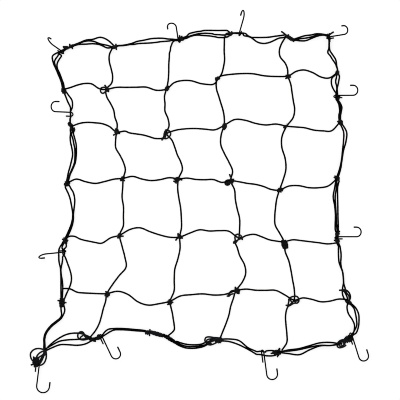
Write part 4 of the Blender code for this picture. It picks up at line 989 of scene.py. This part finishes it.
def border_routes():
    """All the border's strands as routes with heights."""
    return [route for stretch in BORDER for route in strand_routes(stretch)]


def knots_piece(name, lumps, loops, stubs, node):
    """Makes one piece of all the mesh's knots, or of all the border's."""
    sizes = bpy.context.scene.net_sizes
    tubes = [t for i, lump in enumerate(lumps) for t in lump_tubes(lump, i, sizes)]
    tubes += [tube(smooth(loop, LOOP_STEP), sizes.cord / MM / 2, CORD_SIDES) for loop in loops]
    tubes += [stub_tube(row, sizes) for row in stubs]
    # the knots take the cord painted lighter, as painted light
    make_piece(name, tubes, shared(knot_cord_painted_lighter), node)


class NET_OT_mesh_cords(bpy.types.Operator):
    """Makes the five rows and four columns of cord"""

    bl_idname = "luggage_net.mesh_cords"
    bl_label = "Mesh cords"

    def execute(self, context):
        border = border_routes()
        columns = list(zip(*CROSSINGS))
        for name, rows, crossings, rise, apart in (("net_rows", ROWS, CROSSINGS, ROW_RISE, 37),
                                                   ("net_columns", COLUMNS, columns, COLUMN_RISE, 53)):
            tubes = [cord_tube(mesh_route(row, stops, rise, border), context.scene.net_sizes, apart * i)
                     for i, (row, stops) in enumerate(zip(rows, crossings))]
            make_piece(name, tubes, shared(loose_cord), "net_mesh")
        return {"FINISHED"}


class NET_OT_mesh_knots(bpy.types.Operator):
    """Makes the knots at the crossings, with their rings and cut ends"""

    bl_idname = "luggage_net.mesh_knots"
    bl_label = "Mesh knots"

    def execute(self, context):
        knots_piece("net_knots", MESH_LUMPS, MESH_LOOPS, MESH_STUBS, "net_mesh")
        return {"FINISHED"}


class NET_OT_border_cords(bpy.types.Operator):
    """Makes the border's loose strands"""

    bl_idname = "luggage_net.border_cords"
    bl_label = "Border cords"

    def execute(self, context):
        tubes = [cord_tube(route, context.scene.net_sizes, 29 * i) for i, route in enumerate(border_routes())]
        make_piece("border_strands", tubes, shared(loose_cord), "border_cords")
        return {"FINISHED"}


class NET_OT_border_knots(bpy.types.Operator):
    """Makes the border's knots, with their rings and cut ends and the loops of its near left corner"""

    bl_idname = "luggage_net.border_knots"
    bl_label = "Border knots"

    def execute(self, context):
        knots_piece("border_knots", BORDER_LUMPS, BORDER_LOOPS, BORDER_STUBS, "border_cords")
        return {"FINISHED"}


class NET_OT_hooks(bpy.types.Operator):
    """Makes the twelve wire hooks and their dipped tips"""

    bl_idname = "luggage_net.hooks"
    bl_label = "Hooks"

    def execute(self, context):
        eyes = {eye.hook: eye for eye in (CORNER_EYE, *(s.eye for s in BORDER if s.eye))}
        for number, hook in HOOKS.items():
            bare, sleeve = hook_tubes(hook_line(hook, eyes[number]), context.scene.net_sizes)
            node = f"hook_{number:02}"
            make_piece(f"hook_wire_{number:02}", [bare], shared(spring_wire), node)
            make_piece(f"hook_tip_{number:02}", [sleeve], shared(dipped_tip), node)
        return {"FINISHED"}


class NET_OT_stage(bpy.types.Operator):
    """Makes the floor, the soft studio light and the camera straight above the net"""

    bl_idname = "luggage_net.stage"
    bl_label = "Stage"

    def execute(self, context):
        scene = context.scene
        mesh = bpy.data.meshes.new("floor")
        signs = ((-1, -1), (1, -1), (1, 1), (-1, 1))
        corners = [(x * FLOOR_HALF, y * FLOOR_HALF, -FLOOR_DROP) for x, y in signs]
        mesh.from_pydata(corners, [], [(0, 1, 2, 3)])
        mesh.materials.append(studio_floor(scene.net_colours))
        floor = bpy.data.objects.new("floor", mesh)
        scene.collection.objects.link(floor)
        world = bpy.data.worlds.new("white studio")
        world.use_nodes = True
        tree = world.node_tree
        plug(tree, tree.nodes["Background"], {"Color": linear("ffffff"), "Strength": WORLD_LIGHT})
        scene.world = world
        for name, x, y, size, power in LAMPS:
            data = bpy.data.lights.new(name, "AREA")
            data.shape = "DISK"
            data.size = size
            data.energy = power
            lamp = bpy.data.objects.new(name, data)
            lamp.location = (x, y, LAMP_HEIGHT)
            lamp.rotation_euler = (-lamp.location).to_track_quat("-Z", "Y").to_euler()
            scene.collection.objects.link(lamp)
        data = bpy.data.cameras.new("camera")
        data.sensor_width = SENSOR
        data.lens = SENSOR * CAMERA_HEIGHT / FRAME_WIDTH
        data.clip_end = CAMERA_SIGHT
        camera = bpy.data.objects.new("camera", data)
        camera.location = (CENTRE[0] * MM, CENTRE[1] * MM, CAMERA_HEIGHT)
        scene.collection.objects.link(camera)
        scene.camera = camera
        scene.view_settings.view_transform = "Standard"
        scene.view_settings.gamma = VIEW_GAMMA
        scene.cycles.filter_width = EDGE_WIDTH
        return {"FINISHED"}


OPERATORS = (NET_OT_mesh_cords, NET_OT_mesh_knots, NET_OT_border_cords, NET_OT_border_knots, NET_OT_hooks,
             NET_OT_stage)


class NET_PT_panel(bpy.types.Panel):
    """Lists the net's pieces, sizes and colours"""

    bl_idname = "NET_PT_panel"
    bl_label = "Luggage net"
    bl_space_type = "VIEW_3D"
    bl_region_type = "UI"
    bl_category = "Luggage net"

    def draw(self, context):
        for group in (context.scene.net_sizes, context.scene.net_colours):
            for name in group.__annotations__:
                self.layout.prop(group, name)
        for operator in OPERATORS:
            self.layout.operator(operator.bl_idname)


CLASSES = (NetSizes, NetColours, *OPERATORS, NET_PT_panel)


def register():
    for made in CLASSES:
        bpy.utils.register_class(made)
    bpy.types.Scene.net_sizes = bpy.props.PointerProperty(type=NetSizes)
    bpy.types.Scene.net_colours = bpy.props.PointerProperty(type=NetColours)


def unregister():
    del bpy.types.Scene.net_sizes
    del bpy.types.Scene.net_colours
    for made in reversed(CLASSES):
        bpy.utils.unregister_class(made)


def main():
    register()
    bpy.ops.luggage_net.mesh_cords()
    bpy.ops.luggage_net.mesh_knots()
    bpy.ops.luggage_net.border_cords()
    bpy.ops.luggage_net.border_knots()
    bpy.ops.luggage_net.hooks()
    bpy.ops.luggage_net.stage()


if __name__ == "__main__":
    main()
